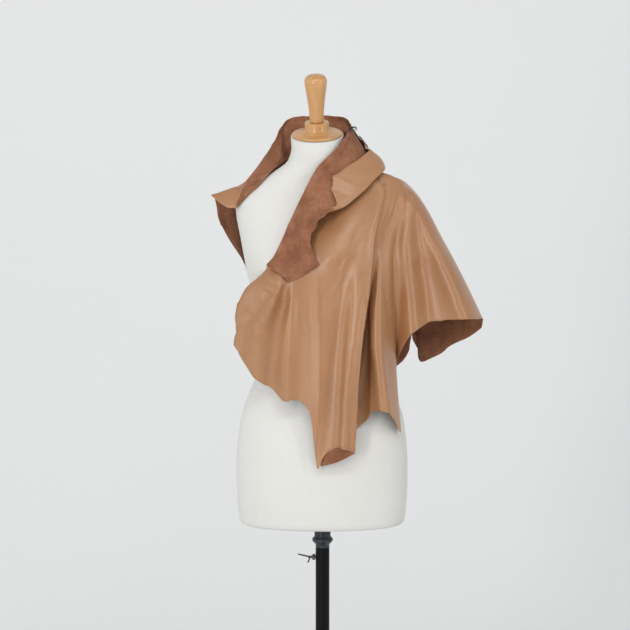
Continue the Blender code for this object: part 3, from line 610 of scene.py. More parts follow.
# The hide's sections, from the front's free edge round the neck to the wing at the other shoulder. Each
# place is (across, up, depth) in millimetres as seen from the front: depth is behind the pole, minus is
# nearer the viewer. flap: raw edge of the part folded back. edge: the collar's outer edge. roll: the middle
# of the collar. neck: the fold at the neckline. stack: how far the layer below the collar keeps off the
# form.
Section = namedtuple("Section", "name stack flap edge roll neck shoulder breast waist hem")
SECTIONS = rows_of(
    Section,
    ("free edge", 4, (-69, 1212, -118), (-75, 1218, -116), (-88, 1230, -112), (-107, 1244, -98), (-126, 1222,
     -98), (-152, 1194, -92), (-172, 1160, -80), (-178, 1084, -70)),
    ("gather", 4, (-10, 1246, -134), (-17, 1244, -134), (-56, 1250, -128), (-90, 1276, -110), (-80, 1232,
     -126), (-94, 1172, -134), (-120, 1112, -118), (-134, 1020, -96)),
    ("lobe", 4, (-22, 1288, -130), (-29, 1288, -128), (-46, 1306, -118), (-74, 1310, -100), (-60, 1240, -124),
     (-64, 1150, -131), (-68, 1064, -127), (-70, 972, -120)),
    ("notch", 4, (-22, 1320, -122), (-28, 1321, -122), (-42, 1330, -116), (-60, 1342, -96), (-30, 1250, -124),
     (-32, 1164, -132), (-34, 1060, -132), (-36, 962, -128)),
    ("leg", 5, (12, 1351, -125), (11, 1349, -118), (-14, 1362, -108), (-40, 1384, -84), (4, 1270, -124), (2,
     1154, -136), (0, 994, -137), (-9, 831, -134)),
    ("leg middle", 8, (28, 1366, -112), (42, 1360, -108), (8, 1388, -96), (-26, 1412, -70), (54, 1340, -104),
     (46, 1230, -136), (36, 1080, -144), (30, 875, -150)),
    ("pleat edge", 15, (18, 1398, -96), (70, 1382, -92), (26, 1410, -84), (-10, 1442, -58), (112, 1404, -50),
     (103, 1298, -110), (80, 1100, -150), (64, 864, -150)),
    ("pleat inner", 9, (22, 1420, -88), (86, 1396, -80), (38, 1424, -74), (2, 1458, -52), (117, 1407, -46),
     (105, 1294, -105), (48, 1090, -128), (-4, 838, -128)),
    ("valley", 4, (42, 1436, -74), (104, 1416, -62), (52, 1438, -62), (12, 1471, -48), (126, 1417, -36), (109,
     1289, -101), (88, 1074, -88), (85, 929, -104)),
    ("ridge", 4, (70, 1454, -52), (123, 1434, -36), (64, 1458, -46), (22, 1484, -44), (137, 1420, -26), (116,
     1272, -99), (110, 1080, -122), (122, 950, -122)),
    ("corner", 4, (94, 1474, -22), (122, 1442, -8), (68, 1474, -32), (32, 1496, -38), (146, 1417, -20), (134,
     1256, -93), (137, 1080, -86), (157, 907, -62)),
    ("side", 4, (84, 1476, 20), (104, 1450, 26), (68, 1486, -6), (42, 1503, -24), (151, 1412, -18), (147,
     1264, -81), (149, 1140, -64), (147, 1040, -42)),
    ("cape fold", 4, (82, 1488, 44), (92, 1466, 46), (67, 1495, 16), (48, 1508, -6), (157, 1407, -17), (170,
     1276, -80), (178, 1194, -80), (184, 1110, -84)),
    ("cape hollow", 4, (74, 1496, 58), (80, 1480, 60), (63, 1505, 32), (50, 1510, 8), (163, 1402, -15), (197,
     1282, -56), (212, 1204, -60), (220, 1132, -64)),
    ("cape ridge", 5, (66, 1507, 68), (69, 1495, 72), (58, 1513, 46), (49, 1510, 20), (169, 1398, -11), (220,
     1284, -56), (252, 1214, -68), (288, 1135, -76)),
    ("cape outer", 5, (56, 1522, 74), (57, 1512, 78), (52, 1516, 56), (46, 1510, 32), (173, 1397, 4), (242,
     1288, 20), (282, 1210, 22), (320, 1132, 14)),
    ("cape back", 5, (52, 1530, 72), (52, 1522, 80), (44, 1518, 62), (38, 1506, 42), (160, 1412, 38), (206,
     1288, 98), (232, 1190, 108), (256, 1083, 100)),
    ("cape tail", 4, (44, 1537, 76), (43, 1529, 79), (36, 1517, 65), (30, 1500, 49), (124, 1419, 66), (162,
     1288, 116), (190, 1178, 116), (195, 1050, 110)),
    ("back right", 4, (28, 1540, 77), (26, 1532, 76), (22, 1516, 66), (16, 1494, 55), (80, 1420, 86), (118,
     1290, 124), (156, 1196, 122), (180, 1110, 116)),
    ("back side", 3, (8, 1541, 78), (6, 1533, 76), (4, 1516, 67), (2, 1492, 57), (32, 1412, 94), (60, 1292,
     126), (112, 1190, 124), (168, 1062, 114)),
    ("back", 2, (-24, 1540, 77), (-24, 1532, 75), (-22, 1512, 67), (-19, 1488, 57), (-30, 1400, 98), (-34,
     1290, 124), (0, 1160, 122), (44, 1008, 112)),
    ("back left", 2.5, (-66, 1536, 62), (-68, 1528, 60), (-66, 1500, 54), (-52, 1470, 42), (-116, 1402, 80),
     (-140, 1330, 100), (-146, 1270, 104), (-146, 1220, 98)),
    ("shoulder", 4, (-96, 1490, 26), (-94, 1482, 22), (-83, 1462, 2), (-72, 1446, 4), (-132, 1424, 24), (-160,
     1372, 64), (-166, 1310, 76), (-157, 1250, 76)),
    ("wing root", 4, (-137, 1431, -6), (-136, 1423, -12), (-134, 1409, -23), (-132, 1393, -32), (-158, 1407,
     8), (-178, 1374, 36), (-188, 1330, 54), (-184, 1292, 62)),
    ("wing back", 4, (-142, 1425, -11), (-142, 1417, -17), (-142, 1402, -27), (-141, 1386, -33), (-166, 1402,
     3), (-186, 1386, 20), (-201, 1362, 32), (-207, 1336, 38)),
    ("wing", 4, (-147, 1419, -16), (-148, 1411, -22), (-149, 1396, -31), (-150, 1378, -34), (-173, 1399, -6),
     (-191, 1394, -2), (-206, 1389, 2), (-219, 1385, 4)),
    ("wing end", 4, (-157, 1405, -22), (-159, 1398, -26), (-164, 1379, -32), (-171, 1358, -28), (-188, 1359,
     -24), (-199, 1365, -17), (-211, 1374, -9), (-222, 1384, -2)),
)
TURNED = ("pleat edge", "pleat inner")
FREE_OF_FORM = ("wing root", "wing back", "wing", "wing end")

# How far each line along the hide keeps off the form, how wide the pleat's folds are there as a share of a
# fold's full width, and how many steps lie between the line and the next one
Line = namedtuple("Line", "name keep_off pleat steps")
LINES = rows_of(
    Line,
    ("flap", 15, 0, 3),
    ("edge over", 15, 0, 2),
    ("edge", 14, 0, 2),
    ("edge under", 13, 0, 3),
    ("roll", 13, 0, 3),
    ("neck over", 12, 0, 2),
    ("neck", 7.5, 0, 2),
    ("neck under", 3.2, 0, 2),
    ("throat", 1.9, 0, 3),
    ("shoulder", 0, 0, 5),
    ("breast", 0, 0.3, 5),
    ("waist", 0, 1, 6),
    ("hem", 0, 1, 0),
)
ACROSS_STEPS = 2
FINE_ACROSS = 5
FINE_ALONG = 4
CUT_EDGE_TONE = 0.3
# The sections and lines of a small patch on the shoulder where the grain side is coloured as the darker suede
SHOULDER_SUEDE_PATCH = ((9.2, 12.8), (8.70, 9.00))

# Soft ridges (plus) and troughs (minus): where they start and end, counted in sections and lines
Crease = namedtuple("Crease", "start_section start_line end_section end_line height width")
CREASES = rows_of(
    Crease,
    (1.00, 9.0, 0.95, 12.0, 9, 0.16),
    (0.72, 9.0, 0.60, 11.6, -9, 0.14),
    (0.45, 9.0, 0.35, 11.4, 6, 0.14),
    (1.45, 9.0, 1.35, 12.0, -8, 0.20),
    (2.10, 9.2, 2.05, 12.0, 6, 0.30),
    (5.55, 9.6, 5.45, 12.0, 7, 0.16),
    (4.80, 9.8, 4.70, 12.0, -6, 0.40),
    (17.6, 9.3, 17.4, 12.0, 8, 0.45),
    (19.5, 9.3, 19.3, 12.0, 9, 0.45),
    (20.5, 9.3, 20.4, 12.0, 8, 0.35),
)

# Bumps (plus) and bays (minus) of the raw edge. On the hem, place and width are counted in sections; on the
# front's free edge they are counted in lines.
Wave = namedtuple("Wave", "edge place reach width")


def waves(edge, *rows):
    """Bumps and bays of one edge, from their place, reach and width."""
    return [Wave(edge, *row) for row in rows]


WAVES = [
    *waves("front", (9.9, 4, 0.55), (11.5, -5, 0.35)),
    *waves("hem", (0.5, 3, 0.3), (2.5, -5, 0.3), (4.5, -8, 0.3), (8.5, -8, 0.3), (15.5, 7, 0.3)),
]

# Layers that lie on each other, lowest first: the upper and the lower one's sections and lines, and the
# side of the lower one that faces the upper, minus for the grain
Layer = namedtuple("Layer", "upper_sections upper_lines lower_sections lower_lines lower_side")
BODY_LINES = (10.1, 12)
LAYERS = rows_of(
    Layer,
    ((6.2, 6.8), BODY_LINES, (7.2, 10), BODY_LINES, -1),
    ((3.5, 5.8), BODY_LINES, (7.2, 10), BODY_LINES, -1),
    ((3.5, 5.8), BODY_LINES, (6.2, 6.8), BODY_LINES, 1),
    ((0, 4.7), (0, 5), (0, 10), (7, 12), -1),
    ((4.7, 26), (0.8, 5), (0, 26), (7, 12), -1),
    ((4.8, 14), (0, 1), (3, 15), (2.8, 6), 1),
)
LAYER_GAP = 4.4
LAYER_REACH = 14.0
LAYER_DEPTH = 26.0


def form_distance(points):
    """Roughly how far each point lies outside the form, from its horizontal radius there."""
    level = form_level(points[..., 2])
    x = points[..., 0] - level.centre_x
    y = points[..., 1] - level.centre_y
    return np.hypot(x, y) - form_radius(np.arctan2(y, x), points[..., 2])


def kept_off_form(points, keep_off, seated=False):
    """Points moved out from the form until each is keep_off away or, if seated, lies just so far off."""
    points = points.copy()
    for _ in range(PUSH_ROUNDS):
        here = form_distance(points)
        slope = [(form_distance(points + PUSH_PROBE * axis) - here) / PUSH_PROBE for axis in np.eye(3)]
        slope = np.stack(slope, axis=-1)
        steep = np.linalg.norm(slope, axis=-1)
        short = np.clip(keep_off - here / steep, -PUSH_LIMIT if seated else 0, PUSH_LIMIT)
        short = np.where(points[..., 2] > FORM_BOTTOM, short, 0)
        points += slope / steep[..., None] * short[..., None]
    return points


def placed(seen):
    """World places of points given as (across, up, depth) as they look from the front."""
    seen = np.asarray(seen, float)
    nearer = 1 + seen[..., 2] / EYE_DISTANCE
    up = EYE_HEIGHT + (seen[..., 1] - EYE_HEIGHT) * nearer
    return np.stack([seen[..., 0] * nearer, seen[..., 2], up], axis=-1)


def fold_sides(before, tip, after, width):
    """The two points beside a fold's tip, kept at least width apart where the fold is closed."""
    to_before = before - tip
    to_after = after - tip
    far_before = np.linalg.norm(to_before, axis=-1, keepdims=True)
    far_after = np.linalg.norm(to_after, axis=-1, keepdims=True)
    reach_before = np.minimum(FOLD_REACH, 0.4 * far_before)
    reach_after = np.minimum(FOLD_REACH, 0.4 * far_after)
    first = tip + to_before / far_before * reach_before
    second = tip + to_after / far_after * reach_after
    apart = first - second
    opening = np.linalg.norm(apart, axis=-1, keepdims=True)
    room = 0.9 * np.minimum(far_before, far_after)
    missing = np.clip(np.minimum(width, room) - opening, 0, None) / 2
    apart = apart / np.maximum(opening, 1e-6)
    return first + apart * missing, second - apart * missing


def smooth_through(points, steps):
    """Points on smooth curves along the first axis, with steps[i] steps between point i and the next."""
    gaps = np.maximum(np.linalg.norm(np.diff(points, axis=0), axis=-1, keepdims=True), LEAST_GAP)
    slopes = curve_slopes(np.diff(points, axis=0) / gaps, gaps)
    curve = []
    for i, count in enumerate(steps):
        curve += [curve_place(points, slopes, gaps, i, k / count) for k in range(count)]
    return np.array([*curve, points[-1]])


def section_net():
    """The hide's control points, one row for each section and one column for each line."""
    rows = []
    for section in SECTIONS:
        flap, edge, roll, neck, *body = placed(section[2:])
        throat = (1 - THROAT_SHARE) * neck + THROAT_SHARE * body[0]
        if section.name not in FREE_OF_FORM:
            throat = kept_off_form(throat, THROAT_SEAT, seated=True)
        edge_over, edge_under = fold_sides(flap, edge, roll, FOLD_WIDTH)
        neck_over, neck_under = fold_sides(roll, neck, throat, FOLD_WIDTH)
        rows.append([flap, edge_over, edge, edge_under, roll, neck_over, neck, neck_under, throat, *body])
    return np.array(rows)


def with_pleat_turns(net):
    """The net with two more sections beside each pleat fold, which turn it; each row's stack and section."""
    rows, stacks, marks = [], [], []
    pleat_width = FOLD_WIDTH * np.array([line.pleat for line in LINES])
    for i, section in enumerate(SECTIONS):
        if section.name in TURNED:
            before, after = fold_sides(net[i - 1], net[i], net[i + 1], pleat_width[:, None])
            beside = [section.stack * 0.75 + SECTIONS[i + side].stack * 0.25 for side in (-1, 1)]
            rows += [before, net[i], after]
            stacks += [beside[0], section.stack, beside[1]]
            marks += [i - 0.15, i, i + 0.15]
        else:
            rows.append(net[i])
            stacks.append(section.stack)
            marks.append(i)
    return np.array(rows), np.array(stacks), np.array(marks)


def smooth_grid(grid, across_steps, along_steps):
    """A grid with more steps across its sections and along its lines."""
    grid = smooth_through(grid, across_steps)
    return np.swapaxes(smooth_through(np.swapaxes(grid, 0, 1), along_steps), 0, 1)


def hide_surface():
    """The hide's middle surface as a grid, the section of each control row, and where each line starts."""
    net, stacks, marks = with_pleat_turns(section_net())
    line_steps = [line.steps for line in LINES[:-1]]
    line_starts = np.concatenate([[0], np.cumsum(line_steps)])
    grid = smooth_grid(net, [ACROSS_STEPS] * (len(net) - 1), line_steps)
    places = np.arange(grid.shape[0]) / ACROSS_STEPS
    section_at = np.interp(places, np.arange(len(marks)), marks)
    stack_at = np.interp(places, np.arange(len(stacks)), stacks)
    line_at = np.interp(np.arange(grid.shape[1]), line_starts, np.arange(len(LINES)))
    keep_line = np.interp(line_at, np.arange(len(LINES)), [line.keep_off for line in LINES])
    under = np.clip(line_at - 8, 0, 1)
    wing_at = [section.name for section in SECTIONS].index(FREE_OF_FORM[0])
    snug = np.interp(section_at, [wing_at - 1, wing_at], [1, WING_SNUG])
    keep_off = keep_line[None, :] * snug[:, None] + under[None, :] * stack_at[:, None]
    least = np.interp(section_at, [wing_at - 2, wing_at - 1], [BACK_CLEARANCE, WING_CLEARANCE])
    keep_off = np.maximum(keep_off, least[:, None])
    grid = creased(grid, section_at, line_at)
    grid = waved(grid, section_at, line_at, WAVES)
    grid = kept_off_form(grid, keep_off)
    for layer in LAYERS * LAY_ROUNDS:
        upper = part_of(section_at, line_at, layer.upper_sections, layer.upper_lines)
        lower = part_of(section_at, line_at, layer.lower_sections, layer.lower_lines)
        grid = laid_over(grid, upper, lower, layer.lower_side)
    return grid, marks, line_starts


def part_of(section_at, line_at, sections, lines):
    """Which points of the grid lie between two sections and two lines."""
    in_sections = (section_at >= sections[0]) & (section_at <= sections[1])
    in_lines = (line_at >= lines[0]) & (line_at <= lines[1])
    return in_sections[:, None] & in_lines[None, :]


def laid_over(grid, upper, lower, lower_side):
    """The grid with its upper part moved clear of its lower part, softly."""
    normals = surface_normals(grid) * lower_side
    offset = grid[upper][:, None, :] - grid[lower][None, :, :]
    nearest = np.argmin(np.linalg.norm(offset, axis=-1), axis=1)
    offset = offset[np.arange(len(nearest)), nearest]
    normal = normals[lower][nearest]
    height = np.sum(offset * normal, axis=-1)
    aside = np.linalg.norm(offset - height[:, None] * normal, axis=-1)
    short = np.where((aside < LAYER_REACH) & (height > -LAYER_DEPTH), LAYER_GAP - height, 0)
    needed = np.zeros_like(grid)
    needed[upper] = np.clip(short, 0, None)[:, None] * normal
    need = np.linalg.norm(needed, axis=-1, keepdims=True)
    moved = needed
    for _ in range(BLUR_ROUNDS):
        padded = np.pad(moved, ((1, 1), (1, 1), (0, 0)), mode="edge")
        blurred = (padded[:-2, 1:-1] + padded[2:, 1:-1] + padded[1:-1, :-2] + padded[1:-1, 2:] + moved) / 5
        shorter = np.linalg.norm(blurred, axis=-1, keepdims=True) < need
        moved = np.where(shorter, needed, blurred)
    return grid + moved


def unit(vectors):
    """The vectors at a length of one."""
    return vectors / np.maximum(np.linalg.norm(vectors, axis=-1, keepdims=True), 1e-9)


def surface_normals(grid):
    """Unit normals of the grid, on its flesh side."""
    return unit(np.cross(np.gradient(grid, axis=0), np.gradient(grid, axis=1)))


def creased(grid, section_at, line_at):
    """The grid with the soft ridges and troughs of CREASES added along its normals."""
    normals = surface_normals(grid)
    lift = np.zeros(grid.shape[:2])
    for crease in CREASES:
        share = (line_at - crease.start_line) / (crease.end_line - crease.start_line)
        centre = crease.start_section + np.clip(share, 0, 1) * (crease.end_section - crease.start_section)
        fade = np.clip(4 * share, 0, 1) * (share > 0)
        offset = (section_at[:, None] - centre[None, :]) / crease.width
        lift += crease.height * fade[None, :] * np.exp(-(offset**2))
    return grid - normals * lift[..., None]


def waved(grid, section_at, line_at, waves):
    """The grid with bumps and bays along its raw edge, which fade out inwards."""
    grid = grid.copy()
    for edge in ("front", "hem"):
        if edge == "hem":
            rim, inner, at = grid[:, -1], grid[:, -2], section_at
            share = np.clip(line_at - (len(LINES) - 2), 0, 1)[None, :] ** 2
        else:
            rim, inner, at = grid[0], grid[1], line_at
            share = np.clip(1 - section_at / FREE_EDGE_REACH, 0, 1)[:, None] ** 2
        run = unit(np.gradient(rim, axis=0))
        out = rim - inner
        out = unit(out - np.sum(out * run, axis=-1, keepdims=True) * run)
        reach = np.zeros(len(at))
        for wave in waves:
            if wave.edge == edge:
                reach += wave.reach * np.exp(-(((at - wave.place) / wave.width) ** 2))
        move = out * reach[:, None]
        grid += share[..., None] * (move[:, None, :] if edge == "hem" else move[None, :, :])
    return grid


# Narrow folds pressed into the finer surface: each runs through (section, line) places, stands
# proud by its height, or is sunk where that is minus, and falls away over its width, both in millimetres.
# It reaches over spread sections to each side. A lap falls away slowly to its left alone, as the edge of a
# layer on top. A fold that stands forward is raised towards the front, and the others square to the sheet.
Fold = namedtuple("Fold", "name height width path spread lap forward", defaults=(1.1, 0, False))
FOLDS = rows_of(
    Fold,
    ("gather ridge", 13, 12, ((1.22, 9.2), (0.98, 9.9), (0.86, 10.7), (0.72, 11.3), (0.50, 12)), 1.1, 0,
     True),
    ("gather valley", -9, 12, ((1.60, 9.3), (1.40, 10.4), (1.36, 11.2), (1.36, 12))),
    ("gather left valley", -7, 8, ((1.00, 9.2), (0.75, 9.8), (0.62, 10.5), (0.48, 11.2))),
    ("gather left ridge", 3.5, 8, ((0.62, 9.0), (0.62, 9.4), (0.72, 9.9))),
    ("gather crimp", 1.5, 4, ((1.50, 9.1), (1.62, 9.4), (1.72, 9.8))),
    ("front band", 5.5, 15, ((1.92, 9.5), (2.00, 10.2), (2.02, 10.9), (2.00, 12))),
    ("front hollow", -5.5, 28, ((4.70, 9.8), (4.86, 10.4), (4.96, 11.0), (4.88, 12))),
    ("bust arc", 3.0, 12, ((5.05, 9.9), (4.60, 9.4), (4.20, 9.2), (3.60, 9.1)), 2),
    ("pleat ridge", 7.5, 10, ((5.86, 10.0), (5.76, 10.4), (5.68, 10.8), (5.60, 11.2), (5.44, 11.6), (5.32,
     12))),
    ("pleat lap", 3.2, 2.2, ((9.38, 8.80), (7.68, 9.0), (6.24, 9.15), (5.90, 9.4), (5.92, 9.7), (6.0, 10.1)),
     4, 22),
    ("second ridge", 8.5, 12, ((8.30, 10.3), (8.55, 10.6), (8.78, 10.9), (9.00, 11.3), (9.00, 12))),
    ("second valley", -2.0, 8, ((8.00, 10.8), (8.12, 11.3), (8.22, 12))),
    ("groove", -5.0, 10, ((10.60, 9.5), (10.75, 9.8), (10.75, 10.4), (10.55, 11.2)), 2),
    ("cape soft ridge", 4.0, 13, ((10.90, 9.3), (11.50, 9.7), (11.84, 10.4), (11.88, 11.2), (11.88, 12)), 2),
    ("cape hollow", -4.5, 16, ((12.60, 10.2), (12.90, 10.9), (12.90, 12))),
    ("cape ridge", 8.5, 12, ((9.25, 9.22), (9.90, 9.3), (12.2, 9.4), (13.5, 9.7), (13.98, 10.2), (14.0, 11.1),
     (13.88, 12)), 3),
    ("cape ridge foot", 1.8, 3, ((9.25, 9.20), (8.65, 9.35), (8.75, 9.5), (8.90, 9.7)), 3),
    ("shoulder crease", 3.0, 2.5, ((7.70, 9.05), (8.50, 9.05), (9.25, 9.05), (10.1, 9.05), (11.9, 9.0)), 4),
    ("back left fold", 5.0, 14, ((20.60, 9.4), (20.50, 10.4), (20.50, 11.6))),
    ("back fold", 5.0, 13, ((19.60, 9.2), (19.50, 10.2), (19.40, 12))),
    ("back right fold", 5.0, 13, ((17.80, 9.3), (17.60, 10.4), (17.50, 12))),
    ("lapel left crease", -1.5, 9, ((2.60, 3.0), (2.30, 4.5), (2.00, 6.0))),
    ("collar corner", 4.5, 5, ((20.70, 0.2), (21.00, 1.8), (21.30, 3.4), (21.40, 5.0), (21.50, 6.2))),
    ("collar hollow", 5.0, 10, ((21.80, 3.8), (21.70, 4.6), (21.60, 5.6), (21.50, 6.2))),
    ("collar facet", 3.5, 5, ((17.80, 0.3), (17.30, 2.4), (16.60, 4.2), (16.40, 5.4))),
    ("collar back crease", 2.0, 6, ((19.20, 1.6), (19.00, 4.0), (18.80, 6.0))),
)

NO_END = 1000.0
# Where the leather hangs evenly: the sections and lines between which it is smoothed before its folds are
# pressed in
CALM_AREAS = [
    ((0.2, 5.3), (9.4, NO_END)),
    ((9.2, NO_END), (9.1, NO_END)),
    ((16.6, NO_END), (9.0, NO_END)),
]
CALM_SHARPNESS = 4
SUEDE_PATCH_SHARPNESS = 8
CALM_ROUNDS = 26
CALM_STEPS = (0.5, -0.53)

PATH_STEPS = 12
FADE_SHARPNESS = 4
CREST_SOFTNESS = 0.35

# Small bumps and nicks of the cut edge, as in WAVES; many more, smaller ones are drawn at random
NICKS = [
    *waves("front", (10.85, 1.6, 0.12), (11.30, 1.4, 0.10), (11.70, -1.6, 0.08)),
    *waves("hem", (0.16, -2.0, 0.08), (0.36, 1.6, 0.10), (1.30, 1.6, 0.12), (1.95, 2.0, 0.10),
            (2.22, -2.4, 0.07), (2.55, -4.0, 0.16), (8.20, 4.0, 0.10), (15.2, 4.0, 0.12), (2.40, 1.8, 0.08),
            (13.2, 1.6, 0.15), (14.6, -1.8, 0.12)),
]
# The turned-back edge of the lapel and the flap, read in the same way
LAPEL_NICKS = [
    *waves("hem", (0.74, -2.5, 0.12), (1.00, 2.5, 0.06), (1.30, -4.0, 0.15), (1.62, -5.0, 0.20),
            (1.95, -3.5, 0.20), (2.90, 7.0, 0.22), (3.18, 6.0, 0.14), (3.75, 6.0, 0.22), (4.12, 8.0, 0.24),
            (4.45, 5.0, 0.14), (5.90, 1.5, 0.05), (6.15, -1.5, 0.07), (7.05, 1.2, 0.07), (15.3, 5.0, 0.14),
            (15.7, -3.0, 0.12)),
]
SMALL_NICKS = 110
SMALL_NICK_REACH = 0.9
SMALL_NICK_WIDTHS = (0.06, 0.15)
NICK_SEED = 7


def small_nicks(edge, length, count, chance):
    """Random bumps and bays of a cut edge, over its length in sections or lines."""
    return [Wave(edge, chance.uniform(0, length), chance.uniform(-1, 1) * SMALL_NICK_REACH,
                 chance.uniform(*SMALL_NICK_WIDTHS)) for _ in range(count)]


def inside(area, section_at, line_at, sharpness):
    """How far each point of the grid lies inside an area of (sections, lines), from 0 to 1."""
    across, along = [
        np.clip((at - low) * sharpness, 0, 1) * np.clip((high - at) * sharpness, 0, 1)
        for at, (low, high) in zip((section_at, line_at), area)
    ]
    return across[:, None] * along[None, :]


def calmed(grid, section_at, line_at):
    """The grid evened out across its sections in CALM_AREAS, by steps in and out that keep its size."""
    weight = np.max([inside(area, section_at, line_at, CALM_SHARPNESS) for area in CALM_AREAS], axis=0)
    for step in CALM_STEPS * CALM_ROUNDS:
        normals = surface_normals(grid)
        bulge = np.zeros_like(grid)
        bulge[1:-1] = (grid[:-2] + grid[2:]) / 2 - grid[1:-1]
        grid = grid + step * weight[..., None] * np.sum(bulge * normals, axis=-1, keepdims=True) * normals
    return grid


def folded(grid, section_at, line_at):
    """The grid with the narrow folds of FOLDS, each fading out at its ends inside the sheet."""
    normals = surface_normals(grid)
    lift = np.zeros(grid.shape[:2])
    forward = np.zeros(grid.shape[:2])
    for fold in FOLDS:
        path = smooth_through(np.array(fold.path, float), [PATH_STEPS] * (len(fold.path) - 1))
        rows = np.rint(np.interp(path[:, 0], section_at, np.arange(len(section_at)))).astype(int)
        columns = np.interp(path[:, 1], line_at, np.arange(len(line_at)))
        low = np.minimum(columns.astype(int), len(line_at) - 2)
        part_way = (columns - low)[:, None]
        run = grid[rows, low] * (1 - part_way) + grid[rows, low + 1] * part_way
        gaps = np.linalg.norm(grid[:, :, None] - run, axis=-1)
        nearest = gaps.argmin(axis=-1)
        off = gaps.min(axis=-1)
        share = nearest / (len(run) - 1)
        fade = np.clip(share * FADE_SHARPNESS, 0, 1)
        if fold.path[-1][1] < len(LINES) - 1:
            fade = fade * np.clip((1 - share) * FADE_SHARPNESS, 0, 1)
        side = section_at[:, None] - path[nearest, 0]
        soft = CREST_SOFTNESS * fold.width
        shape = np.exp(-(np.sqrt(off**2 + soft**2) - soft) / fold.width)
        if fold.lap:
            shape = np.where(side < 0, np.exp(-off / fold.lap), np.exp(-((off / fold.width) ** 2)))
        rise = (np.abs(side) < fold.spread) * fade * fold.height * shape
        if fold.forward:
            forward += rise
        else:
            lift += rise
    return grid - normals * lift[..., None] - forward[..., None] * np.array([0, 1, 0])


def fine_surface():
    """The solid's middle surface at finer steps, with its narrow folds and its uneven cut edge."""
    grid, marks, line_starts = hide_surface()
    grid = smooth_grid(grid, [FINE_ACROSS] * (grid.shape[0] - 1), [FINE_ALONG] * (grid.shape[1] - 1))
    places = np.arange(grid.shape[0]) / (ACROSS_STEPS * FINE_ACROSS)
    section_at = np.interp(places, np.arange(len(marks)), marks)
    line_at = np.interp(np.arange(grid.shape[1]) / FINE_ALONG, line_starts, np.arange(len(LINES)))
    grid = folded(calmed(grid, section_at, line_at), section_at, line_at)
    chance = np.random.default_rng(NICK_SEED)
    last_section = len(SECTIONS) - 1
    last_line = len(LINES) - 1
    body_nicks = NICKS + small_nicks("hem", last_section, SMALL_NICKS, chance)
    body_nicks += small_nicks("front", last_line, SMALL_NICKS // 2, chance)
    grid = waved(grid, section_at, line_at, body_nicks)
    collar_nicks = LAPEL_NICKS + small_nicks("hem", last_section, SMALL_NICKS, chance)
    grid = waved(grid[:, ::-1], section_at, last_line - line_at[::-1], collar_nicks)[:, ::-1]
    return kept_off_form(grid, np.full(grid.shape[:2], BACK_CLEARANCE)), section_at, line_at


def build_hide(grid, section_at, line_at):
    """The hide as a thin sheet with a rounded raw edge; its mask is 0 on the grain, 1 on the flesh side and
    on the grain's suede-coloured patch at the shoulder.
    """
    normals = surface_normals(grid)
    half = HIDE_THICKNESS / 2
    rows, columns = grid.shape[:2]
    skin = rows * columns
    rim = [i * columns for i in range(rows)]
    rim += [(rows - 1) * columns + j for j in range(1, columns)]
    rim += [i * columns + columns - 1 for i in range(rows - 2, -1, -1)]
    rim += [j for j in range(columns - 2, 0, -1)]
    middle = grid.reshape(-1, 3)
    outward = np.zeros_like(middle).reshape(rows, columns, 3)
    outward[0] += grid[0] - grid[1]
    outward[-1] += grid[-1] - grid[-2]
    outward[:, 0] += grid[:, 0] - grid[:, 1]
    outward[:, -1] += grid[:, -1] - grid[:, -2]
    outward = outward.reshape(-1, 3)[rim]
    edge = middle[rim] + unit(outward) * half * RAW_EDGE_BULGE
    sides = [(grid + side * half * normals).reshape(-1, 3) for side in (-1, 1)]
    points = np.concatenate([*sides, edge])
    # The grain side is given the suede's darker colour, roughness and relief over a small patch at the
    # shoulder.
    suede_patch = inside(SHOULDER_SUEDE_PATCH, section_at, line_at, SUEDE_PATCH_SHARPNESS).reshape(-1)
    flesh = np.concatenate([suede_patch, np.ones(skin), np.full(len(rim), CUT_EDGE_TONE)])
    faces = []
    for i in range(rows - 1):
        for j in range(columns - 1):
            a = i * columns + j
            b, c, d = a + 1, a + columns + 1, a + columns
            faces.append((a, b, c, d))
            faces.append((skin + d, skin + c, skin + b, skin + a))
    for k, here in enumerate(rim):
        there = rim[(k + 1) % len(rim)]
        mid_here = 2 * skin + k
        mid_there = 2 * skin + (k + 1) % len(rim)
        faces.append((here, there, mid_there, mid_here))
        faces.append((mid_here, mid_there, skin + there, skin + here))
    mesh = bpy.data.meshes.new("leather_hide")
    mesh.from_pydata([tuple(MM * c for c in p) for p in points], [], faces)
    attribute = mesh.attributes.new("flesh", "FLOAT", "POINT")
    attribute.data.foreach_set("value", flesh)
    piece = new_piece("leather_hide", mesh)
    bpy.ops.object.mode_set(mode="EDIT")
    bpy.ops.mesh.select_all(action="SELECT")
    bpy.ops.mesh.normals_make_consistent(inside=False)
    bpy.ops.object.mode_set(mode="OBJECT")
    smooth_to(FLESH_EDGE)
    return piece


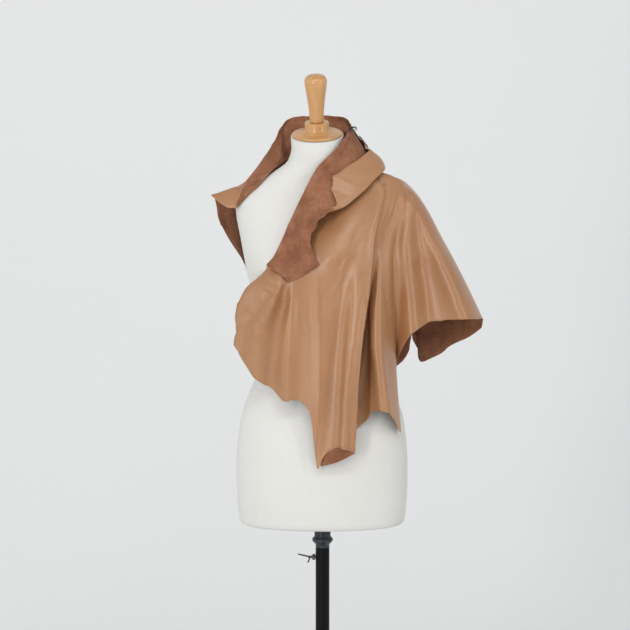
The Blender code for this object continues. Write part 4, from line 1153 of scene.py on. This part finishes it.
def leather():
    """Tanned leather: waxed, pored grain on one side, brown suede on the other, told by the mesh's mask."""
    material, tree, shader = new_material("tanned_leather", Coat_Roughness=0.31)
    place = add(tree, "ShaderNodeTexCoord").outputs["Object"]
    side = add(tree, "ShaderNodeAttribute", {"attribute_name": "flesh"}).outputs["Fac"]
    flesh = ramp(tree, side, (0.25, (0, 0, 0)), (0.45, (1, 1, 1)))
    mask, _ = unevenness(tree, 6.0, 120.0, 0.3)
    grain_colour = ramp(tree, mask, (0.30, (0.338, 0.154, 0.064)), (0.50, (0.372, 0.176, 0.077)),
                        (0.72, (0.408, 0.202, 0.094)))
    suede_mask, suede_height = unevenness(tree, 26.0, 480.0, 0.45)
    suede_colour = ramp(tree, suede_mask, (0.38, (0.170, 0.060, 0.027)), (0.50, (0.242, 0.095, 0.046)),
                        (0.62, (0.330, 0.145, 0.080)))
    pores = add(tree, "ShaderNodeTexVoronoi", {"feature": "DISTANCE_TO_EDGE"}, Vector=place, Scale=900.0)
    pore = maths(tree, "MINIMUM", pores.outputs["Distance"], 0.25)
    grain_height = blended(tree, 0.6, pore, noise(tree, place, 70.0, Detail=6.0, Roughness=0.55))
    feed(shader, Base_Color=mixed(tree, flesh, grain_colour, suede_colour),
         Roughness=blended(tree, flesh, blended(tree, mask, 0.35, 0.45), 0.95),
         Coat_Weight=blended(tree, flesh, 0.35, 0.0),
         Normal=relief(tree, blended(tree, flesh, grain_height, suede_height), 0.0004, 0.5))
    return material


hide_grid, section_at, line_at = fine_surface()
hide = build_hide(hide_grid, section_at, line_at)
finished(hide, leather(), "form", "leather", "hide")

# Collar clip
# A small claw clip of moulded glossy black plastic pinches the collar behind the neck: two jaws, each a
# rounded spine with curved teeth. The outer one shows on the collar's outline, the inner by the neck cap.
Tooth = namedtuple("Tooth", "node side radius places")
CLAW_BARS = rows_of(
    Tooth,
    ("clip_inner_jaw", 1, 1.5, ((14.1, 3.9, 2.6), (14.1, 4.4, 4.0), (14.0, 4.9, 4.4), (13.9, 5.4, 3.0))),
    ("clip_inner_jaw", 1, 1.1, ((14.1, 4.1, 3.2), (13.8, 4.2, 9.0), (13.3, 4.3, 12), (12.7, 4.5, 8.0))),
    ("clip_inner_jaw", 1, 1.1, ((14.1, 4.4, 3.8), (13.7, 4.5, 9.4), (13.1, 4.7, 12), (12.5, 4.9, 7.0))),
    ("clip_inner_jaw", 1, 1.1, ((14.0, 4.7, 4.2), (13.6, 4.9, 9.6), (13.0, 5.1, 11), (12.4, 5.3, 6.0))),
    ("clip_inner_jaw", 1, 1.1, ((13.9, 5.1, 4.0), (13.4, 5.3, 8.4), (12.8, 5.5, 9.0), (12.2, 5.7, 4.0))),
    ("clip_inner_jaw", 1, 1.9, ((14.7, 4.1, 2.8), (14.4, 4.2, 4.6), (14.1, 4.3, 4.4))),
    ("clip_outer_jaw", -1, 1.3, ((13.5, 0.1, 2.4), (13.2, 0.5, 3.2), (12.6, 0.7, 3.2), (12.0, 0.9, 2.4))),
    ("clip_outer_jaw", -1, 0.9, ((13.3, 0.4, 3.0), (13.3, 0.9, 4.2), (13.3, 1.4, 1.8))),
    ("clip_outer_jaw", -1, 0.9, ((12.9, 0.5, 3.0), (12.9, 1.0, 4.2), (12.9, 1.5, 1.8))),
    ("clip_outer_jaw", -1, 0.9, ((12.4, 0.6, 3.0), (12.4, 1.1, 4.2), (12.4, 1.6, 1.8))),
)
BAR_EDGE = 40
BAR_STEPS = 6
hide_normals = surface_normals(hide_grid)


def on_leather(side, place):
    """The point above a (section, line, height) place of the hide, on its flesh (plus) or grain (minus)."""
    section, line, height = place
    row = round(np.interp(section, section_at, np.arange(len(section_at))))
    column = np.interp(line, line_at, np.arange(len(line_at)))
    low = min(int(column), len(line_at) - 2)
    share = column - low
    point = hide_grid[row, low] * (1 - share) + hide_grid[row, low + 1] * share
    return point + side * height * hide_normals[row, low]


def moulded_bar(bar):
    """A round bar of the claw, thinned to a blunt tip at its last place."""
    places = np.array([on_leather(bar.side, place) for place in bar.places])
    points = smooth_through(places, [BAR_STEPS] * (len(places) - 1))
    curve = bpy.data.curves.new(bar.node, "CURVE")
    curve.dimensions = "3D"
    curve.bevel_depth = MM
    curve.bevel_resolution = 3
    curve.use_fill_caps = True
    spline_points = curve.splines.new("POLY").points
    spline_points.add(len(points) - 1)
    for k, (point, place) in enumerate(zip(spline_points, points)):
        along = k / (len(points) - 1)
        point.co = (*(MM * place), 1)
        point.radius = bar.radius * (0.75 + 0.25 * min(1, 6 * along)) * (1 - 0.55 * along**2)
    new_piece(bar.node, curve)
    bpy.ops.object.convert(target="MESH")
    return bpy.context.object


def clip_plastic():
    """Glossy moulded plastic, faintly uneven."""
    material, tree, shader = new_material("clip_plastic", Specular_IOR_Level=0.3)
    mask, height = unevenness(tree, 40.0, 900.0, 0.3)
    feed(shader, Base_Color=ramp(tree, mask, (0.3, (0.003, 0.003, 0.003)), (0.7, (0.008, 0.007, 0.007))),
         Roughness=blended(tree, mask, 0.16, 0.32), Normal=relief(tree, height, 0.00004))
    return material


plastic = clip_plastic()
for node in ("clip_outer_jaw", "clip_inner_jaw"):
    first_bar, *other_bars = [moulded_bar(bar) for bar in CLAW_BARS if bar.node == node]
    jaw = joined(first_bar, other_bars)
    jaw.name = node.replace("clip", "claw")
    smooth_to(BAR_EDGE)
    finished(jaw, plastic, "form", "clip_plastic", node)

# Floor, backdrop, light and camera
# A seamless pale grey studio sweep, see-through from its back, strip lights at the front left, the left and
# the right, a wide strip above and a pale surround. The camera stands five metres in front at eye height.
CAMERA_PLACE = Vector((0, -5.0, 1.70))
CAMERA_AIM = Vector((-0.0152, 0, 1.144))
VIEW_WIDTH = 1.26
SENSOR_WIDTH = 36.0
STUDIO_HALF_WIDTH = 6.0
BACKDROP_DISTANCE = 2.6
BACKDROP_HEIGHT = 5.0
SWEEP_RADIUS = 1.6
FLOOR_DROP = 0.0005

bpy.ops.object.select_all(action="DESELECT")
bpy.ops.mesh.primitive_plane_add(size=2, location=(0, 0, -FLOOR_DROP))
sweep = bpy.context.object
sweep.name = "studio_sweep"
for vertex in sweep.data.vertices:
    vertex.co.x *= STUDIO_HALF_WIDTH
    vertex.co.y = BACKDROP_DISTANCE if vertex.co.y > 0 else -2 * STUDIO_HALF_WIDTH
bpy.ops.object.mode_set(mode="EDIT")
bpy.ops.mesh.select_all(action="DESELECT")
bpy.ops.object.mode_set(mode="OBJECT")
for line in sweep.data.edges:
    line.select = all(sweep.data.vertices[i].co.y > 0 for i in line.vertices)
bpy.ops.object.mode_set(mode="EDIT")
bpy.ops.mesh.extrude_region_move(TRANSFORM_OT_translate={"value": (0, 0, BACKDROP_HEIGHT)})
bpy.ops.object.mode_set(mode="OBJECT")
curve = sweep.modifiers.new("sweep", "BEVEL")
curve.width = SWEEP_RADIUS
curve.segments = 24
bpy.ops.object.modifier_apply(modifier="sweep")
bpy.ops.object.shade_smooth()
paper, tree, shader = new_material("studio_paper", Roughness=0.9)
mask, _ = unevenness(tree, 0.6, 90.0, 0.05)
feed(shader, Base_Color=ramp(tree, mask, (0.3, (0.835, 0.842, 0.845)), (0.7, (0.860, 0.867, 0.870))))
one_sided = add(tree, "ShaderNodeMixShader", _0=add(tree, "ShaderNodeNewGeometry").outputs["Backfacing"],
                _1=shader.outputs["BSDF"], _2=add(tree, "ShaderNodeBsdfTransparent").outputs["BSDF"])
feed(tree.nodes["Material Output"], Surface=one_sided.outputs["Shader"])
sweep.data.materials.append(paper)

world = bpy.data.worlds.new("pale_studio")
bpy.context.scene.world = world
world.use_nodes = True
feed(world.node_tree.nodes["Background"], Color=(0.925, 0.930, 0.930, 1), Strength=0.58)

# One row for each light: its place, what it points at, its width and height in metres and its power in
# watts
Lamp = namedtuple("Lamp", "name place aim width height power")
LAMPS = rows_of(
    Lamp,
    ("key", (-1.75, -3.6, 1.75), (0, 0, 1.15), 0.5, 2.8, 52),
    ("side", (3.1, -2.3, 1.75), (0, 0, 1.15), 0.4, 2.6, 27),
    ("left", (-3.3, -0.9, 1.7), (0, 0, 1.15), 0.4, 2.6, 16),
    ("top", (0.3, -2.5, 3.7), (0, 0, 1.3), 3.0, 0.5, 34),
)
for lamp in LAMPS:
    light = bpy.data.objects.new(lamp.name, bpy.data.lights.new(lamp.name, "AREA"))
    light.data.shape = "RECTANGLE"
    light.data.size = lamp.width
    light.data.size_y = lamp.height
    light.data.energy = lamp.power
    light.location = lamp.place
    light.rotation_euler = (Vector(lamp.aim) - light.location).to_track_quat("-Z", "Y").to_euler()
    bpy.context.collection.objects.link(light)

camera = bpy.data.objects.new("camera", bpy.data.cameras.new("camera"))
camera.data.sensor_width = SENSOR_WIDTH
camera.data.lens = SENSOR_WIDTH * (CAMERA_AIM - CAMERA_PLACE).length / VIEW_WIDTH
camera.location = CAMERA_PLACE
camera.rotation_euler = (CAMERA_AIM - CAMERA_PLACE).to_track_quat("-Z", "Y").to_euler()
bpy.context.collection.objects.link(camera)
bpy.context.scene.camera = camera
bpy.context.scene.view_settings.view_transform = "Standard"

bpy.context.view_layer.update()
